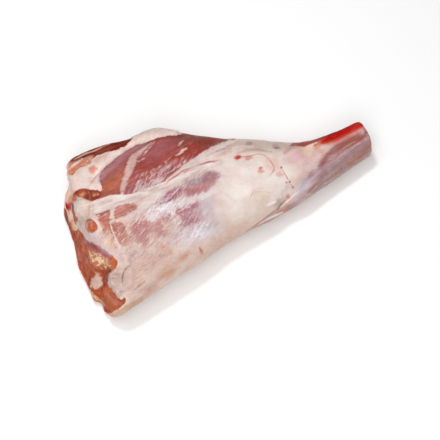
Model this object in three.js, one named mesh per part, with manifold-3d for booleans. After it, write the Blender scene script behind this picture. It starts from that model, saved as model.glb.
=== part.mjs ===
// A raw leg of lamb, bone in, shank on: one mass of muscle and fat with two sawn bones in it.
// Millimetres, +Z up. +X runs from the hip end to the shank, and the outer side of the leg lies on z = 0.
//
// The meat is one implicit solid: a loft of rounded sections along X, with ridges and hollows laid
// on it, cut off by a hip face, a sawn shank face and the table. Surface nets turn it into a mesh.

import * as THREE from "three";
import { mergeVertices } from "three/addons/utils/BufferGeometryUtils.js";
import Module from "manifold-3d";

const { clamp, lerp, smoothstep } = THREE.MathUtils;

// ---------------------------------------------------------------- driving dimensions

const HIP_X = -192; // the hip face, at its foot
const SHANK_X = 197; // the sawn shank face, at the middle of the shank
const CELL = 5.9; // spacing of the mesh
const PLAY = 0.3; // gap all round a bone, so that no two solids touch

// The leg's sections from hip to shank: the near and far side (y), the top and the underside (z).
// An underside below 0 is pressed flat by the table.
const SECTIONS = [
  { x: -205, near: -107, far: 104, top: 78, under: -4 },
  { x: -165, near: -105, far: 107, top: 82, under: -5 },
  { x: -120, near: -92, far: 110, top: 85, under: -5 },
  { x: -85, near: -82, far: 107, top: 86, under: -5 },
  { x: -50, near: -72, far: 109, top: 83, under: -5 },
  { x: -15, near: -60, far: 91, top: 78, under: -5 },
  { x: 20, near: -51, far: 72, top: 72, under: -4 },
  { x: 55, near: -45, far: 61, top: 65, under: -3 },
  { x: 88, near: -36, far: 46, top: 57, under: -1 },
  { x: 120, near: -26, far: 37, top: 51, under: 0 },
  { x: 160, near: -13, far: 35, top: 48, under: 0 },
  { x: 205, near: 0, far: 44, top: 48, under: 0 },
];
const WIDEST_AT = 0.44; // height of the widest line, as a share of the section's height
const TOP_SQUARENESS = 2.35; // superellipse exponents: 2 is an ellipse, more is boxier
const UNDER_SQUARENESS = 2.6;

// The hip face leans back from foot to top, most at the near corner, and a little forward at the far
// one, where the flap hangs over. It drops away at both sides.
const HIP_LEAN = { far: -9, middle: 22, near: 36, over: 80 };
const HIP_NEAR_DROP = { from: -62, to: -95, by: 10 };
const HIP_FAR_DROP = { from: 52, to: 90, by: 25 };
const HIP_EDGE = 11; // how softly each edge is rounded
const SHANK_EDGE = 5;
const TABLE_EDGE = 4;

// The shank runs off towards the far side, and its end is sawn square to it.
const SHANK_HEADING = new THREE.Vector3(1, 0.16, 0).normalize();
const SHANK_FACE = new THREE.Vector3(SHANK_X, 20, 25);

// Ridges and hollows: each follows a line of points [x, y, z, radius, rise] and fades out at its
// radius. A rise below 0 is a hollow.
const RELIEF = {
  // the inner face: a pale sheet of fat across the hip corner, and the seams beside it
  fatSheet: [[-162, 66, 76, 18, 3], [-138, 70, 79, 20, 4], [-82, 88, 73, 18, 3.5], [-30, 85, 66, 10, 1.5]],
  recessBehindIt: [[-152, 99, 62, 12, -3], [-128, 99, 64, 13, -4.5], [-98, 99, 62, 11, -3]],
  flapAtItsHipEnd: [[-168, 80, 72, 15, 1], [-166, 94, 56, 15, 1]],
  cornerOfTheFlap: [[-172, 100, 62, 13, -3.5], [-166, 106, 44, 12, -3]],
  seamBeforeIt: [[-143, 42, 83, 10, -3], [-122, 60, 84, 11, -4], [-96, 76, 78, 11, -4], [-66, 82, 76, 9, -2]],
  // the red thigh muscle between the fat sheet and the pale band
  thighMuscle: [[-112, 38, 85, 28, 3], [-70, 50, 86, 36, 4.5], [-22, 56, 78, 30, 3.5]],
  silverskinDent: [[-86, 66, 84, 8, -1.2], [-106, 42, 86, 9, -1.6], [-116, 18, 85, 8, -1]],
  seamBeforeTheBand: [
    [-130, 26, 85, 9, -2],
    [-92, 22, 86, 10, -3],
    [-58, 26, 84, 9, -2],
    [-14, 43, 79, 7, -1],
  ],
  // the pale band of gristle that runs from a knob on the hip edge towards the knee
  knob: [[-176, 23, 70, 13, 5], [-164, 22, 79, 14, 6]],
  band: [
    [-158, 17, 82, 12, 3.5],
    [-89, 11, 86, 12, 3.5],
    [-57, 18, 84, 11, 3],
    [0, 31, 75, 10, 2],
    [44, 36, 65, 8, 1],
  ],
  hollowByTheKnob: [[-176, 46, 68, 13, -3], [-162, 36, 80, 14, -3.5], [-148, 32, 82, 12, -2]],
  notchInTheHipEdge: [[-182, 58, 78, 15, -7], [-182, 68, 58, 14, -7.5], [-184, 78, 36, 14, -6.5]],
  tissueByTheBone: [[-188, 51, 50, 11, 3], [-190, 44, 40, 12, 2]],
  // the broad muscle mass on the near side of the band
  seamBeyondTheBand: [
    [-146, 2, 84, 12, -2],
    [-112, -3, 85, 13, -3],
    [-74, -1, 85, 13, -2],
    [-30, 6, 81, 10, -1],
  ],
  roundMuscleEnd: [[-172, -7, 74, 11, 3], [-166, -7, 80, 11, 3]],
  nearMass: [[-130, -40, 84, 40, 2.5], [-80, -32, 82, 45, 3.5], [-30, -22, 78, 40, 2.5]],
  nearCrease: [[-156, -64, 74, 12, -3], [-158, -78, 62, 12, -3]],
  // the hip face: cut muscle ends with seams between them
  middleLobe: [[-188, -20, 16, 36, 5], [-180, -34, 44, 36, 5]],
  nearLobe: [[-170, -88, 34, 26, 5], [-180, -92, 14, 26, 5]],
  footOfTheMiddleLobe: [[-190, -50, 12, 18, 2.5], [-188, -62, 12, 14, 4]],
  seamOfTheNearLobe: [[-170, -58, 60, 13, -4], [-178, -68, 30, 12, -3.5], [-184, -77, 10, 10, -2.5]],
  seamByTheBone: [[-174, 14, 62, 10, -2.5], [-186, 22, 36, 11, -3], [-192, 16, 8, 10, -2]],
  seamUnderTheFlap: [[-176, 66, 40, 11, -3], [-164, 92, 36, 12, -3], [-146, 106, 34, 10, -1.5]],
  // the knee and the shank
  knee: [[30, -10, 66, 34, 3], [62, 0, 60, 36, 3.5]],
  dimpleBeyondTheKnee: [[76, 42, 50, 13, -2], [98, 34, 48, 15, -3]],
  creaseBeforeTheKnee: [[56, -48, 32, 13, -3], [76, -34, 48, 14, -3.5]],
  shankMuscle: [[95, -8, 52, 24, 3], [135, -4, 49, 22, 2.5]],
  shinEdge: [[118, 26, 47, 13, 2], [160, 30, 44, 14, 2.5], [200, 33, 45, 13, 2]],
  shankGroove: [[112, 13, 51, 11, -2], [150, 12, 49, 11, -2], [184, 15, 49, 10, -1.5]],
  heelString: [[95, -34, 34, 14, 2], [140, -18, 30, 15, 2.5], [188, -4, 26, 13, 1.5]],
  // the far side: the thigh's edge and the muscle behind the shank
  farSideSeam: [[-120, 108, 38, 14, -2], [-60, 106, 34, 15, -3], [0, 84, 32, 14, -2]],
  backOfTheShank: [[60, 58, 28, 22, 2], [100, 44, 26, 20, 2]],
};

// Meat is never quite even: slow waves over the whole surface, one wavelength along each axis.
const WAVES = { height: 0.9, x: 71, y: 47, z: 53 };

// The two bones that show. Each is a sawn length set in the meat, round or oval, with the marrow
// sunk in its end. `face` is the middle of the sawn end, `heading` points out of the meat, and
// `long` is the direction of the oval's long half-axis.
const PROUD = 1.2; // how far a sawn bone stands out of the meat, which shrinks back from it
const BONES = [
  {
    name: "shank_bone",
    face: SHANK_FACE.clone().add(new THREE.Vector3(-0.7, 4.5, 2)).addScaledVector(SHANK_HEADING, PROUD),
    heading: SHANK_HEADING,
    long: new THREE.Vector3(0, 0.6, 0.8),
    half: { long: 10, short: 8.5 },
    marrow: { share: 0.52, depth: 2.5 },
    depth: 110,
  },
  {
    name: "hip_bone",
    face: new THREE.Vector3(-186.3, 45, 34),
    heading: new THREE.Vector3(-0.97, 0, 0.24),
    long: new THREE.Vector3(0.1, 0.9, 0.42),
    half: { long: 13.5, short: 6 },
    marrow: { share: 0.6, depth: 2 },
    depth: 46,
  },
];
const BONE_SIDES = 36;
const BONE_EDGE = 0.9; // rounding of the sawn edge

// ---------------------------------------------------------------- the meat as a field

// Smooth maximum: the edge where two surfaces meet is rounded over about r.
function roundedMax(a, b, r) {
  const h = Math.max(r - Math.abs(a - b), 0) / r;
  return Math.max(a, b) + (h * h * r) / 4;
}

// The section at x, by cubic interpolation between the named ones.
const sectionSplines = ["near", "far", "top", "under"].map(
  (side) =>
    new THREE.CubicInterpolant(
      SECTIONS.map((section) => section.x),
      SECTIONS.map((section) => section[side]),
      1,
    ),
);
function sectionAt(x) {
  const at = clamp(x, SECTIONS[0].x, SECTIONS.at(-1).x);
  const [near, far, top, under] = sectionSplines.map((spline) => spline.evaluate(at)[0]);
  return { near, far, top, under };
}

// How far p lies outside the loft, to first order in millimetres.
function loft(p) {
  const { near, far, top, under } = sectionAt(p.x);
  const middle = lerp(under, top, WIDEST_AT);
  const above = p.z > middle;
  const width = (far - near) / 2;
  const height = above ? top - middle : middle - under;
  const n = above ? TOP_SQUARENESS : UNDER_SQUARENESS;
  const y = Math.abs(p.y - (near + far) / 2) / width;
  const z = Math.abs(p.z - middle) / height;
  const radius = Math.pow(Math.pow(y, n) + Math.pow(z, n), 1 / n);
  if (radius < 0.2) return -0.8 * Math.min(width, height);
  const slope = Math.hypot(Math.pow(y / radius, n - 1) / width, Math.pow(z / radius, n - 1) / height);
  return (radius - 1) / slope;
}

// The relief's lines, cut into straight stretches.
const stretches = Object.values(RELIEF).map((line) =>
  line.slice(1).map((end, i) => {
    const start = line[i];
    return {
      along: new THREE.Line3(new THREE.Vector3(...start), new THREE.Vector3(...end)),
      radius: [start[3], end[3]],
      rise: [start[4], end[4]],
    };
  }),
);
const nearest = new THREE.Vector3();

// What one stretch adds at p: most on its line, nothing beyond its radius.
function riseAt({ along, radius, rise }, p) {
  const t = along.closestPointToPointParameter(p, true);
  const share = along.at(t, nearest).distanceTo(p) / lerp(...radius, t);
  return share < 1 ? lerp(...rise, t) * (1 - share ** 2) ** 2 : 0;
}

// Sum of all ridges, hollows and waves at p. Of a line's stretches only the strongest counts.
function relief(p) {
  let sum = 0;
  for (const line of stretches) {
    const rises = line.map((stretch) => riseAt(stretch, p));
    sum += rises.reduce((most, rise) => (Math.abs(rise) > Math.abs(most) ? rise : most));
  }
  for (const axis of ["x", "y", "z"]) {
    sum += (WAVES.height / 3) * Math.sin((2 * Math.PI * p[axis]) / WAVES[axis]);
  }
  return sum;
}

function hipFace(p) {
  const nearLean = lerp(HIP_LEAN.middle, HIP_LEAN.near, smoothstep(-p.y, 10, 80));
  const lean = lerp(nearLean, HIP_LEAN.far, smoothstep(p.y, 30, 100));
  const nearDrop = HIP_NEAR_DROP.by * smoothstep(-p.y, -HIP_NEAR_DROP.from, -HIP_NEAR_DROP.to);
  const farDrop = HIP_FAR_DROP.by * smoothstep(p.y, HIP_FAR_DROP.from, HIP_FAR_DROP.to);
  return HIP_X + (lean * p.z) / HIP_LEAN.over + nearDrop + farDrop - p.x;
}

const fromShankFace = new THREE.Vector3();
function shankFace(p) {
  return fromShankFace.subVectors(p, SHANK_FACE).dot(SHANK_HEADING);
}

function meat(p) {
  const trimmed = roundedMax(roundedMax(loft(p), hipFace(p), HIP_EDGE) - relief(p), shankFace(p), SHANK_EDGE);
  return roundedMax(trimmed, -p.z, TABLE_EDGE);
}

// ---------------------------------------------------------------- from field to mesh

const STEP = 0.25; // for the slope of the field
const LEAST_STEEPNESS = 0.4; // keeps a step short where the field is nearly level
const probe = new THREE.Vector3();
function slopeAt(field, p, out) {
  for (const axis of ["x", "y", "z"]) {
    const ahead = field(probe.copy(p).setComponent("xyz".indexOf(axis), p[axis] + STEP));
    const behind = field(probe.copy(p).setComponent("xyz".indexOf(axis), p[axis] - STEP));
    out[axis] = (ahead - behind) / (2 * STEP);
  }
  return out;
}

const AXES = [[1, 0, 0], [0, 1, 0], [0, 0, 1]];

// Where a grid face has both diagonals crossed, four quads would share an edge: there the corner
// nearest the surface changes sides.
function partSaddles(values, count, at) {
  let saddles = 0;
  for (let k = 0; k < count.z - 1; k++)
    for (let j = 0; j < count.y - 1; j++)
      for (let i = 0; i < count.x - 1; i++)
        AXES.forEach((u, axis) => {
          const v = AXES[(axis + 1) % 3];
          const face = [[0, 0], [1, 0], [1, 1], [0, 1]].map(([a, b]) =>
            at(i + a * u[0] + b * v[0], j + a * u[1] + b * v[1], k + a * u[2] + b * v[2]),
          );
          const [p, q, r, s] = face.map((n) => values[n] < 0);
          if (p !== r || q !== s || p === q) return;
          const closest = face.reduce((best, n) => (Math.abs(values[n]) < Math.abs(values[best]) ? n : best));
          values[closest] *= -1;
          saddles++;
        });
  if (saddles) partSaddles(values, count, at);
}

// Surface nets: one vertex in each cell that the surface crosses, one quad on each crossed grid edge.
function surfaceNets(field, box, cell) {
  const count = box.getSize(new THREE.Vector3()).divideScalar(cell).ceil().addScalar(1);
  const at = (i, j, k) => i + count.x * (j + count.y * k);
  const corner = (i, j, k) => new THREE.Vector3(i, j, k).multiplyScalar(cell).add(box.min);
  const values = new Float32Array(count.x * count.y * count.z);
  for (let k = 0; k < count.z; k++)
    for (let j = 0; j < count.y; j++)
      for (let i = 0; i < count.x; i++) values[at(i, j, k)] = field(corner(i, j, k));
  partSaddles(values, count, at);

  const positions = [];
  const vertexOf = new Map();
  const bits = [0, 1, 2, 3, 4, 5, 6, 7].map((b) => [b & 1, (b >> 1) & 1, b >> 2]);
  for (let k = 0; k < count.z - 1; k++)
    for (let j = 0; j < count.y - 1; j++)
      for (let i = 0; i < count.x - 1; i++) {
        const sum = new THREE.Vector3();
        let crossings = 0;
        bits.forEach((a, m) =>
          bits.forEach((b, n) => {
            if (n <= m || (m ^ n) & ((m ^ n) - 1)) return;
            const va = values[at(i + a[0], j + a[1], k + a[2])];
            const vb = values[at(i + b[0], j + b[1], k + b[2])];
            if (va < 0 === vb < 0) return;
            sum.add(new THREE.Vector3(...a).lerp(new THREE.Vector3(...b), va / (va - vb)));
            crossings++;
          }),
        );
        if (!crossings) continue;
        vertexOf.set(at(i, j, k), positions.length / 3);
        positions.push(...sum.divideScalar(crossings).multiplyScalar(cell).add(corner(i, j, k)).toArray());
      }

  const index = [];
  for (let k = 1; k < count.z - 1; k++)
    for (let j = 1; j < count.y - 1; j++)
      for (let i = 1; i < count.x - 1; i++)
        AXES.forEach(([dx, dy, dz], axis) => {
          const inside = values[at(i, j, k)] < 0;
          if (inside === values[at(i + dx, j + dy, k + dz)] < 0) return;
          const u = AXES[(axis + 1) % 3];
          const v = AXES[(axis + 2) % 3];
          const cellAt = (a, b) =>
            vertexOf.get(at(i - a * u[0] - b * v[0], j - a * u[1] - b * v[1], k - a * u[2] - b * v[2]));
          const quad = [cellAt(0, 0), cellAt(1, 0), cellAt(1, 1), cellAt(0, 1)];
          if (!inside) quad.reverse();
          index.push(quad[0], quad[1], quad[2], quad[0], quad[2], quad[3]);
        });
  return new THREE.BufferGeometry()
    .setAttribute("position", new THREE.Float32BufferAttribute(positions, 3))
    .setIndex(index);
}

// Moves each vertex straight out or in to the surface, by half a cell at most, and what then lies
// within a hair of the table onto the table.
function settle(geometry, field, cell, hair = 0.4) {
  const position = geometry.getAttribute("position");
  const start = new THREE.Vector3();
  const p = new THREE.Vector3();
  const slope = new THREE.Vector3();
  const out = new THREE.Vector3();
  for (let i = 0; i < position.count; i++) {
    start.fromBufferAttribute(position, i);
    out.copy(slopeAt(field, start, slope)).normalize();
    let moved = 0;
    for (let round = 0; round < 4; round++) {
      p.copy(start).addScaledVector(out, moved);
      const steepness = Math.max(slopeAt(field, p, slope).dot(out), LEAST_STEEPNESS);
      moved = clamp(moved - field(p) / steepness, -cell / 2, cell / 2);
    }
    p.copy(start).addScaledVector(out, moved);
    if (p.z < hair) p.z = 0;
    position.setXYZ(i, p.x, p.y, p.z);
  }
  return geometry;
}

const room = new THREE.Box3(new THREE.Vector3(-212, -122, -8), new THREE.Vector3(212, 122, 100));
const meatGeometry = settle(surfaceNets(meat, room, CELL), meat, CELL);

// ---------------------------------------------------------------- the bones

// A bone along +Z with its sawn end at z = 0, grown all round by `extra` and lengthened by `reach`.
function boneGeometry({ half, marrow, depth }, extra = 0, reach = 0) {
  const foot = -depth - extra;
  const profile = reach
    ? [[0, foot], [1, foot], [1, reach], [0, reach]]
    : [
        [0, foot],
        [1, foot],
        [1, -BONE_EDGE],
        [1 - BONE_EDGE / half.long, 0],
        [marrow.share, 0],
        [marrow.share * 0.9, -marrow.depth * 0.8],
        [0, -marrow.depth],
      ];
  const geometry = new THREE.LatheGeometry(
    profile.map(([radius, z]) => new THREE.Vector2(radius, z)),
    BONE_SIDES,
  );
  return geometry.rotateX(Math.PI / 2).scale(half.long + extra, half.short + extra, 1);
}

// Turns and moves a geometry from the bone's own axes to its place in the leg.
function setInPlace(geometry, { face, heading, long }) {
  const z = heading.clone().normalize();
  const y = new THREE.Vector3().crossVectors(z, long).normalize();
  const x = new THREE.Vector3().crossVectors(y, z);
  return geometry.applyMatrix4(new THREE.Matrix4().makeBasis(x, y, z).setPosition(face));
}

// ---------------------------------------------------------------- cutting the sockets

const wasm = await Module();
wasm.setup();

function toManifold(geometry) {
  geometry.deleteAttribute("normal").deleteAttribute("uv");
  const merged = mergeVertices(geometry, 1e-4);
  return new wasm.Manifold(
    new wasm.Mesh({
      numProp: 3,
      vertProperties: new Float32Array(merged.getAttribute("position").array),
      triVerts: new Uint32Array(merged.getIndex().array),
    }),
  );
}

function toGeometry(solid) {
  const { vertProperties, triVerts, numProp } = solid.getMesh();
  return new THREE.BufferGeometry()
    .setAttribute("position", new THREE.BufferAttribute(vertProperties, numProp))
    .setIndex(new THREE.BufferAttribute(triVerts, 1));
}

const sockets = BONES.map((bone) => toManifold(setInPlace(boneGeometry(bone, PLAY, 20), bone)));
const cutMeat = sockets.reduce((solid, socket) => solid.subtract(socket), toManifold(meatGeometry));

// ---------------------------------------------------------------- the finished part

const MEAT = new THREE.MeshStandardMaterial({ color: 0xd9b3a5, roughness: 0.4, metalness: 0 });
const BONE = new THREE.MeshStandardMaterial({ color: 0xe2cdb9, roughness: 0.55, metalness: 0 });

function named(name, geometry, material) {
  geometry.computeVertexNormals();
  const mesh = new THREE.Mesh(geometry, material);
  mesh.name = name;
  return mesh;
}

const leg = new THREE.Group();
leg.add(named("leg_meat", toGeometry(cutMeat), MEAT));
for (const bone of BONES) leg.add(named(bone.name, setInPlace(boneGeometry(bone), bone), BONE));

// The origin is the middle of the leg's box, on the table.
const box = new THREE.Box3().setFromObject(leg);
leg.position.set(-(box.min.x + box.max.x) / 2, -(box.min.y + box.max.y) / 2, -box.min.z);

export default leg;
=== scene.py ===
# %% [markdown]
# # A raw leg of lamb
#
# This file dresses a leg of lamb, with the bone in and the shank on. The solids come from the packed
# frame. Here they get a fine surface, the colours of muscle, fat, membrane and blood, and a wet finish.
# The whole file works in the frame's own axes: +X runs from the cut hip end to the sawn shank, +Y points
# to the thigh's front edge, and +Z up. The leg lies on its outer side on a table at Z = 0.

# %% Load the frame
import math

import bpy
import numpy as np
from mathutils import Matrix, Vector
from mathutils.bvhtree import BVHTree


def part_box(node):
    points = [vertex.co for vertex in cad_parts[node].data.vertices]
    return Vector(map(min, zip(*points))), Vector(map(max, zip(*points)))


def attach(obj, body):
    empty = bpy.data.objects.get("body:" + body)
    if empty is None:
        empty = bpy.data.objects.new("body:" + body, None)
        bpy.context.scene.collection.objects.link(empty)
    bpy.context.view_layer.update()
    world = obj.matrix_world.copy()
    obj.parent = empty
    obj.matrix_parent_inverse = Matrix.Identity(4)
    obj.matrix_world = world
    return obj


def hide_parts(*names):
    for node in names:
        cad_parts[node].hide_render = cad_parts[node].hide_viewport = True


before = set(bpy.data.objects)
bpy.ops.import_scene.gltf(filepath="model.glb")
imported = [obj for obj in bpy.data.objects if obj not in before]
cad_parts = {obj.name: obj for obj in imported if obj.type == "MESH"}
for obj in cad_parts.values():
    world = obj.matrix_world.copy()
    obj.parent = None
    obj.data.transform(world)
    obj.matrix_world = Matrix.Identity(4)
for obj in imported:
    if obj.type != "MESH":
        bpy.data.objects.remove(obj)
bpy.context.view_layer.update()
MM = 0.001

# %% [markdown]
# ## The camera
#
# A leg of meat is best seen from well above, a little from its near side. Three unit vectors hold the
# view: `RIGHT` and `UP` span the picture and `TOWARD` points from the leg to the eye. A long lens from
# far away keeps the leg's proportions, as a product photographer would.

# %% Camera
AZIMUTH = math.radians(-20)
ELEVATION = math.radians(64)
EYE_DISTANCE = 2062.0
VIEW_CENTRE = (-5.0, -19.15)
LENS_MM = 135
SENSOR_MM = 36
CLIP_END_M = 20

RIGHT = np.array([math.cos(AZIMUTH), math.sin(AZIMUTH), 0.0])
UP = np.array([-math.sin(AZIMUTH) * math.sin(ELEVATION), math.cos(AZIMUTH) * math.sin(ELEVATION),
               math.cos(ELEVATION)])
TOWARD = np.cross(RIGHT, UP)
EYE = VIEW_CENTRE[0] * RIGHT + VIEW_CENTRE[1] * UP + EYE_DISTANCE * TOWARD

lens = bpy.data.cameras.new("camera")
lens.lens = LENS_MM
lens.sensor_width = SENSOR_MM
lens.clip_end = CLIP_END_M
camera = bpy.data.objects.new("camera", lens)
camera.matrix_world = Matrix([[*row, 0] for row in (RIGHT, UP, TOWARD)] + [[0, 0, 0, 1]]).transposed()
camera.location = Vector(EYE * MM)
bpy.context.scene.collection.objects.link(camera)
bpy.context.scene.camera = camera
print("camera at", [round(v, 3) for v in camera.location])

# %% [markdown]
# ## A fine mesh from a coarse solid
#
# The solid of the meat has flat facets about 6 mm wide. A voxel remesh turns them into small, even quads,
# which is what sculpted detail needs. Then the facets are smoothed away. Plain smoothing shrinks a
# shape, so every step inwards is followed by a slightly longer step outwards (Taubin's method): bumps as
# small as a facet go, and larger forms stay.

# %% A fine copy of a solid
WELD_MM = 0.01


def fine_copy(node, name, voxel_mm):
    """A new object with the node's form, remeshed into quads of about voxel_mm."""
    piece = bpy.data.objects.new(name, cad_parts[node].data.copy())
    bpy.context.scene.collection.objects.link(piece)
    weld = piece.modifiers.new("weld", "WELD")
    weld.merge_threshold = WELD_MM * MM
    grid = piece.modifiers.new("grid", "REMESH")
    grid.mode = "VOXEL"
    grid.voxel_size = voxel_mm * MM
    graph = bpy.context.evaluated_depsgraph_get()
    fine = bpy.data.meshes.new_from_object(piece.evaluated_get(graph))
    fine.name = name
    fine.materials.clear()
    piece.modifiers.clear()
    piece.data = fine
    fine.shade_smooth()
    return piece


print("solids in the frame:", ", ".join(sorted(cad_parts)))


# %% Reading and moving vertices
def read_points(mesh):
    """The mesh's vertices in millimetres, one row each."""
    flat = np.empty(len(mesh.vertices) * 3)
    mesh.vertices.foreach_get("co", flat)
    return flat.reshape(-1, 3) / MM


def write_points(mesh, points):
    """Moves the mesh's vertices to points in millimetres."""
    mesh.vertices.foreach_set("co", (points * MM).ravel())
    mesh.update()


def read_normals(mesh):
    """The mesh's vertex normals, one row each."""
    flat = np.empty(len(mesh.vertices) * 3)
    mesh.vertex_normals.foreach_get("vector", flat)
    return flat.reshape(-1, 3)


print("vertices of the coarse meat:", len(read_points(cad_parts["leg_meat"].data)))

# %% Smoothing
TAUBIN_STEPS = (0.60, -0.63)


def edges_of(mesh):
    """The mesh's edges as pairs of vertices, and how many edges meet at each vertex."""
    flat = np.empty(len(mesh.edges) * 2, int)
    mesh.edges.foreach_get("vertices", flat)
    return flat.reshape(-1, 2), np.bincount(flat, minlength=len(mesh.vertices))


def neighbour_mean(values, edges, count):
    """For each vertex, the mean of the values at its neighbours."""
    total = np.empty_like(values)
    for axis in range(values.shape[1]):
        total[:, axis] = np.bincount(edges[:, 0], values[edges[:, 1], axis], len(values))
        total[:, axis] += np.bincount(edges[:, 1], values[edges[:, 0], axis], len(values))
    return total / count[:, None]


def smooth_out(mesh, passes, free):
    """Taubin smoothing. free is 1 where a vertex may move and 0 where it stays."""
    edges, count = edges_of(mesh)
    points = read_points(mesh)
    for _ in range(passes):
        for step in TAUBIN_STEPS:
            points += step * free[:, None] * (neighbour_mean(points, edges, count) - points)
    write_points(mesh, points)


print("edges of the coarse meat:", len(edges_of(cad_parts["leg_meat"].data)[0]))


# %% How far a bone is
def gap_to(points, node, reach):
    """The distance in mm from each point to a CAD node, or reach where it is further away."""
    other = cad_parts[node].data
    tree = BVHTree.FromPolygons([v.co for v in other.vertices], [p.vertices for p in other.polygons])
    low, high = (np.array(corner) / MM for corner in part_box(node))
    gap = np.full(len(points), float(reach))
    for i in np.flatnonzero(((points > low - reach) & (points < high + reach)).all(1)):
        gap[i] = min(reach, tree.find_nearest(Vector(points[i] * MM))[3] / MM)
    return gap


print("from the origin to the hip bone:", round(float(gap_to(np.zeros((1, 3)), "hip_bone", 500)[0]), 1), "mm")

# %% [markdown]
# The meat is one piece of nearly 100,000 small quads. The two sockets that hold the sawn bones keep their
# shape, because vertices close to a bone aren't smoothed.

# %% The meat's mesh
MEAT_VOXEL_MM = 1.45
FACET_PASSES = 30
SOCKET_RIM_MM = 1.2
SOCKET_REACH_MM = 5.0

meat = fine_copy("leg_meat", "meat", MEAT_VOXEL_MM)
P = read_points(meat.data)
socket_gap = np.minimum(gap_to(P, "shank_bone", SOCKET_REACH_MM), gap_to(P, "hip_bone", SOCKET_REACH_MM))
away_from_bone = np.clip((socket_gap - SOCKET_RIM_MM) / (SOCKET_REACH_MM - SOCKET_RIM_MM), 0, 1)
smooth_out(meat.data, FACET_PASSES, away_from_bone)
P = read_points(meat.data)
N = read_normals(meat.data)
COUNT = len(P)
print("meat:", COUNT, "vertices,", len(meat.data.polygons), "quads")

# %% [markdown]
# ## Charts: where a feature lies
#
# Most of what makes this leg look like a leg lies on its inner face. To place it, the vertices are
# projected onto a flat chart, seen from the camera's place: U runs to the right and V up, in
# millimetres, with the middle of the leg's box at 0, 0. It is the way a sign painter projects a drawing
# onto a wall before painting it. `turned` says how far the surface faces the camera, from 1 to 0 at
# the outline and below 0 behind it.

# %% Chart of the inner face
def smoothstep(low, high, x):
    """Rises softly from 0 at low to 1 at high."""
    t = np.clip((x - low) / (high - low), 0, 1)
    return t * t * (3 - 2 * t)


def chart_of(points):
    """Where points lie on the chart, as U and V."""
    magnify = (EYE_DISTANCE / (EYE_DISTANCE - points @ TOWARD))[:, None]
    return VIEW_CENTRE + (np.column_stack([points @ RIGHT, points @ UP]) - VIEW_CENTRE) * magnify


CHART = chart_of(P)
U, V = CHART.T
depth = P @ TOWARD
to_eye = EYE - P
to_eye /= np.linalg.norm(to_eye, axis=1)[:, None]
turned = (N * to_eye).sum(1)
print("chart from", CHART.min(0).round(1), "to", CHART.max(0).round(1), "mm")

# %% [markdown]
# ## Noise
#
# Nothing on meat is even, so every edge and every colour is broken up by noise. This is value noise: a
# random number for each corner of a lattice, blended in between. The numbers come from a hash of the
# corner and a seed, so that they are the same on every run. `size` is the lattice step in millimetres,
# and the last number of each call is its seed.

# %% Noise
HASH_FACTORS = (374761393, 668265263, 1442695041, 362437)
HASH_MIXERS = (1274126177, 668265263)
LATTICE_SHIFT = 1000.0


def hashed(ix, iy, iz, seed):
    """A random number from -1 to 1 for a corner of the lattice."""
    h = sum(part * factor for part, factor in zip((ix, iy, iz, seed), HASH_FACTORS)) & 0xFFFFFFFF
    h = ((h ^ (h >> 13)) * HASH_MIXERS[0]) & 0xFFFFFFFF
    h = ((h ^ (h >> 15)) * HASH_MIXERS[1]) & 0xFFFFFFFF
    return (h ^ (h >> 16)) / 2**31 - 1.0


def noise(points, size, seed):
    """Smooth noise from -1 to 1. size is one number or three, in mm."""
    q = points / np.asarray(size, float) + LATTICE_SHIFT
    cell = np.floor(q).astype(np.int64)
    t = q - cell
    t = t * t * (3 - 2 * t)
    total = np.zeros(len(points))
    for dx in (0, 1):
        for dy in (0, 1):
            for dz in (0, 1):
                weight = np.ones(len(points))
                for axis, d in enumerate((dx, dy, dz)):
                    weight = weight * (t[:, axis] if d else 1 - t[:, axis])
                total += weight * hashed(cell[:, 0] + dx, cell[:, 1] + dy, cell[:, 2] + dz, seed)
    return total


def rough_noise(points, size, seed):
    """Three sizes of noise at once, each half the last, evened out to about -1 to 1."""
    return (noise(points, size, seed) + 0.5 * noise(points, np.asarray(size) / 2, seed + 1)
            + 0.25 * noise(points, np.asarray(size) / 4, seed + 2)) / 1.4


def rag(mm, size, seed):
    """How far an edge wanders: up to mm, in waves of that size."""
    return mm * noise(P, size, seed)


def along_chart(degrees):
    """The chart turned so that its first axis runs in that direction, with depth as the third."""
    a = math.radians(degrees)
    return np.column_stack([U * math.cos(a) + V * math.sin(a), V * math.cos(a) - U * math.sin(a), depth])


print("noise at the first vertex:", round(float(noise(P[:1], 10, 1)[0]), 3))

# %% [markdown]
# ## Where the chart ends
#
# `face` fades the chart's paint out where the surface turns away. Noise makes that end ragged, so that
# no straight border shows on the far side. `front` fades sooner: it is for thin lines close to the
# outline, which would smear into wide blots on a surface that the chart meets edge on.

# %% The chart's ragged end
RAGGED_END = 0.26
FACE_FADE = (-0.45, -0.05)
FRONT_FADE = (0.1, 0.5)
face = smoothstep(*FACE_FADE, turned + RAGGED_END * rough_noise(P, 24, 7))
front = smoothstep(*FRONT_FADE, turned)


def tell(name, mask):
    """Prints how much of the surface a mask covers."""
    print(f"{name}: {100 * float((mask > 0.5).mean()):.1f} percent of the surface")


tell("chart", face)

# %% [markdown]
# ## Outlines, strands and spots
#
# Features are drawn with three tools. An outline is a closed curve, a strand is a tapering line, and a
# spot is an ellipse. Each gives a signed distance in mm: above 0 inside, below 0 outside. A distance is
# handier than a mask, since one number gives a hard edge, a soft edge, a raised rim or a ragged edge,
# whatever `soft` and the noise make of it.

# %% Curves
TINY = 1e-9
CURVE_STEP_MM = 3


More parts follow.
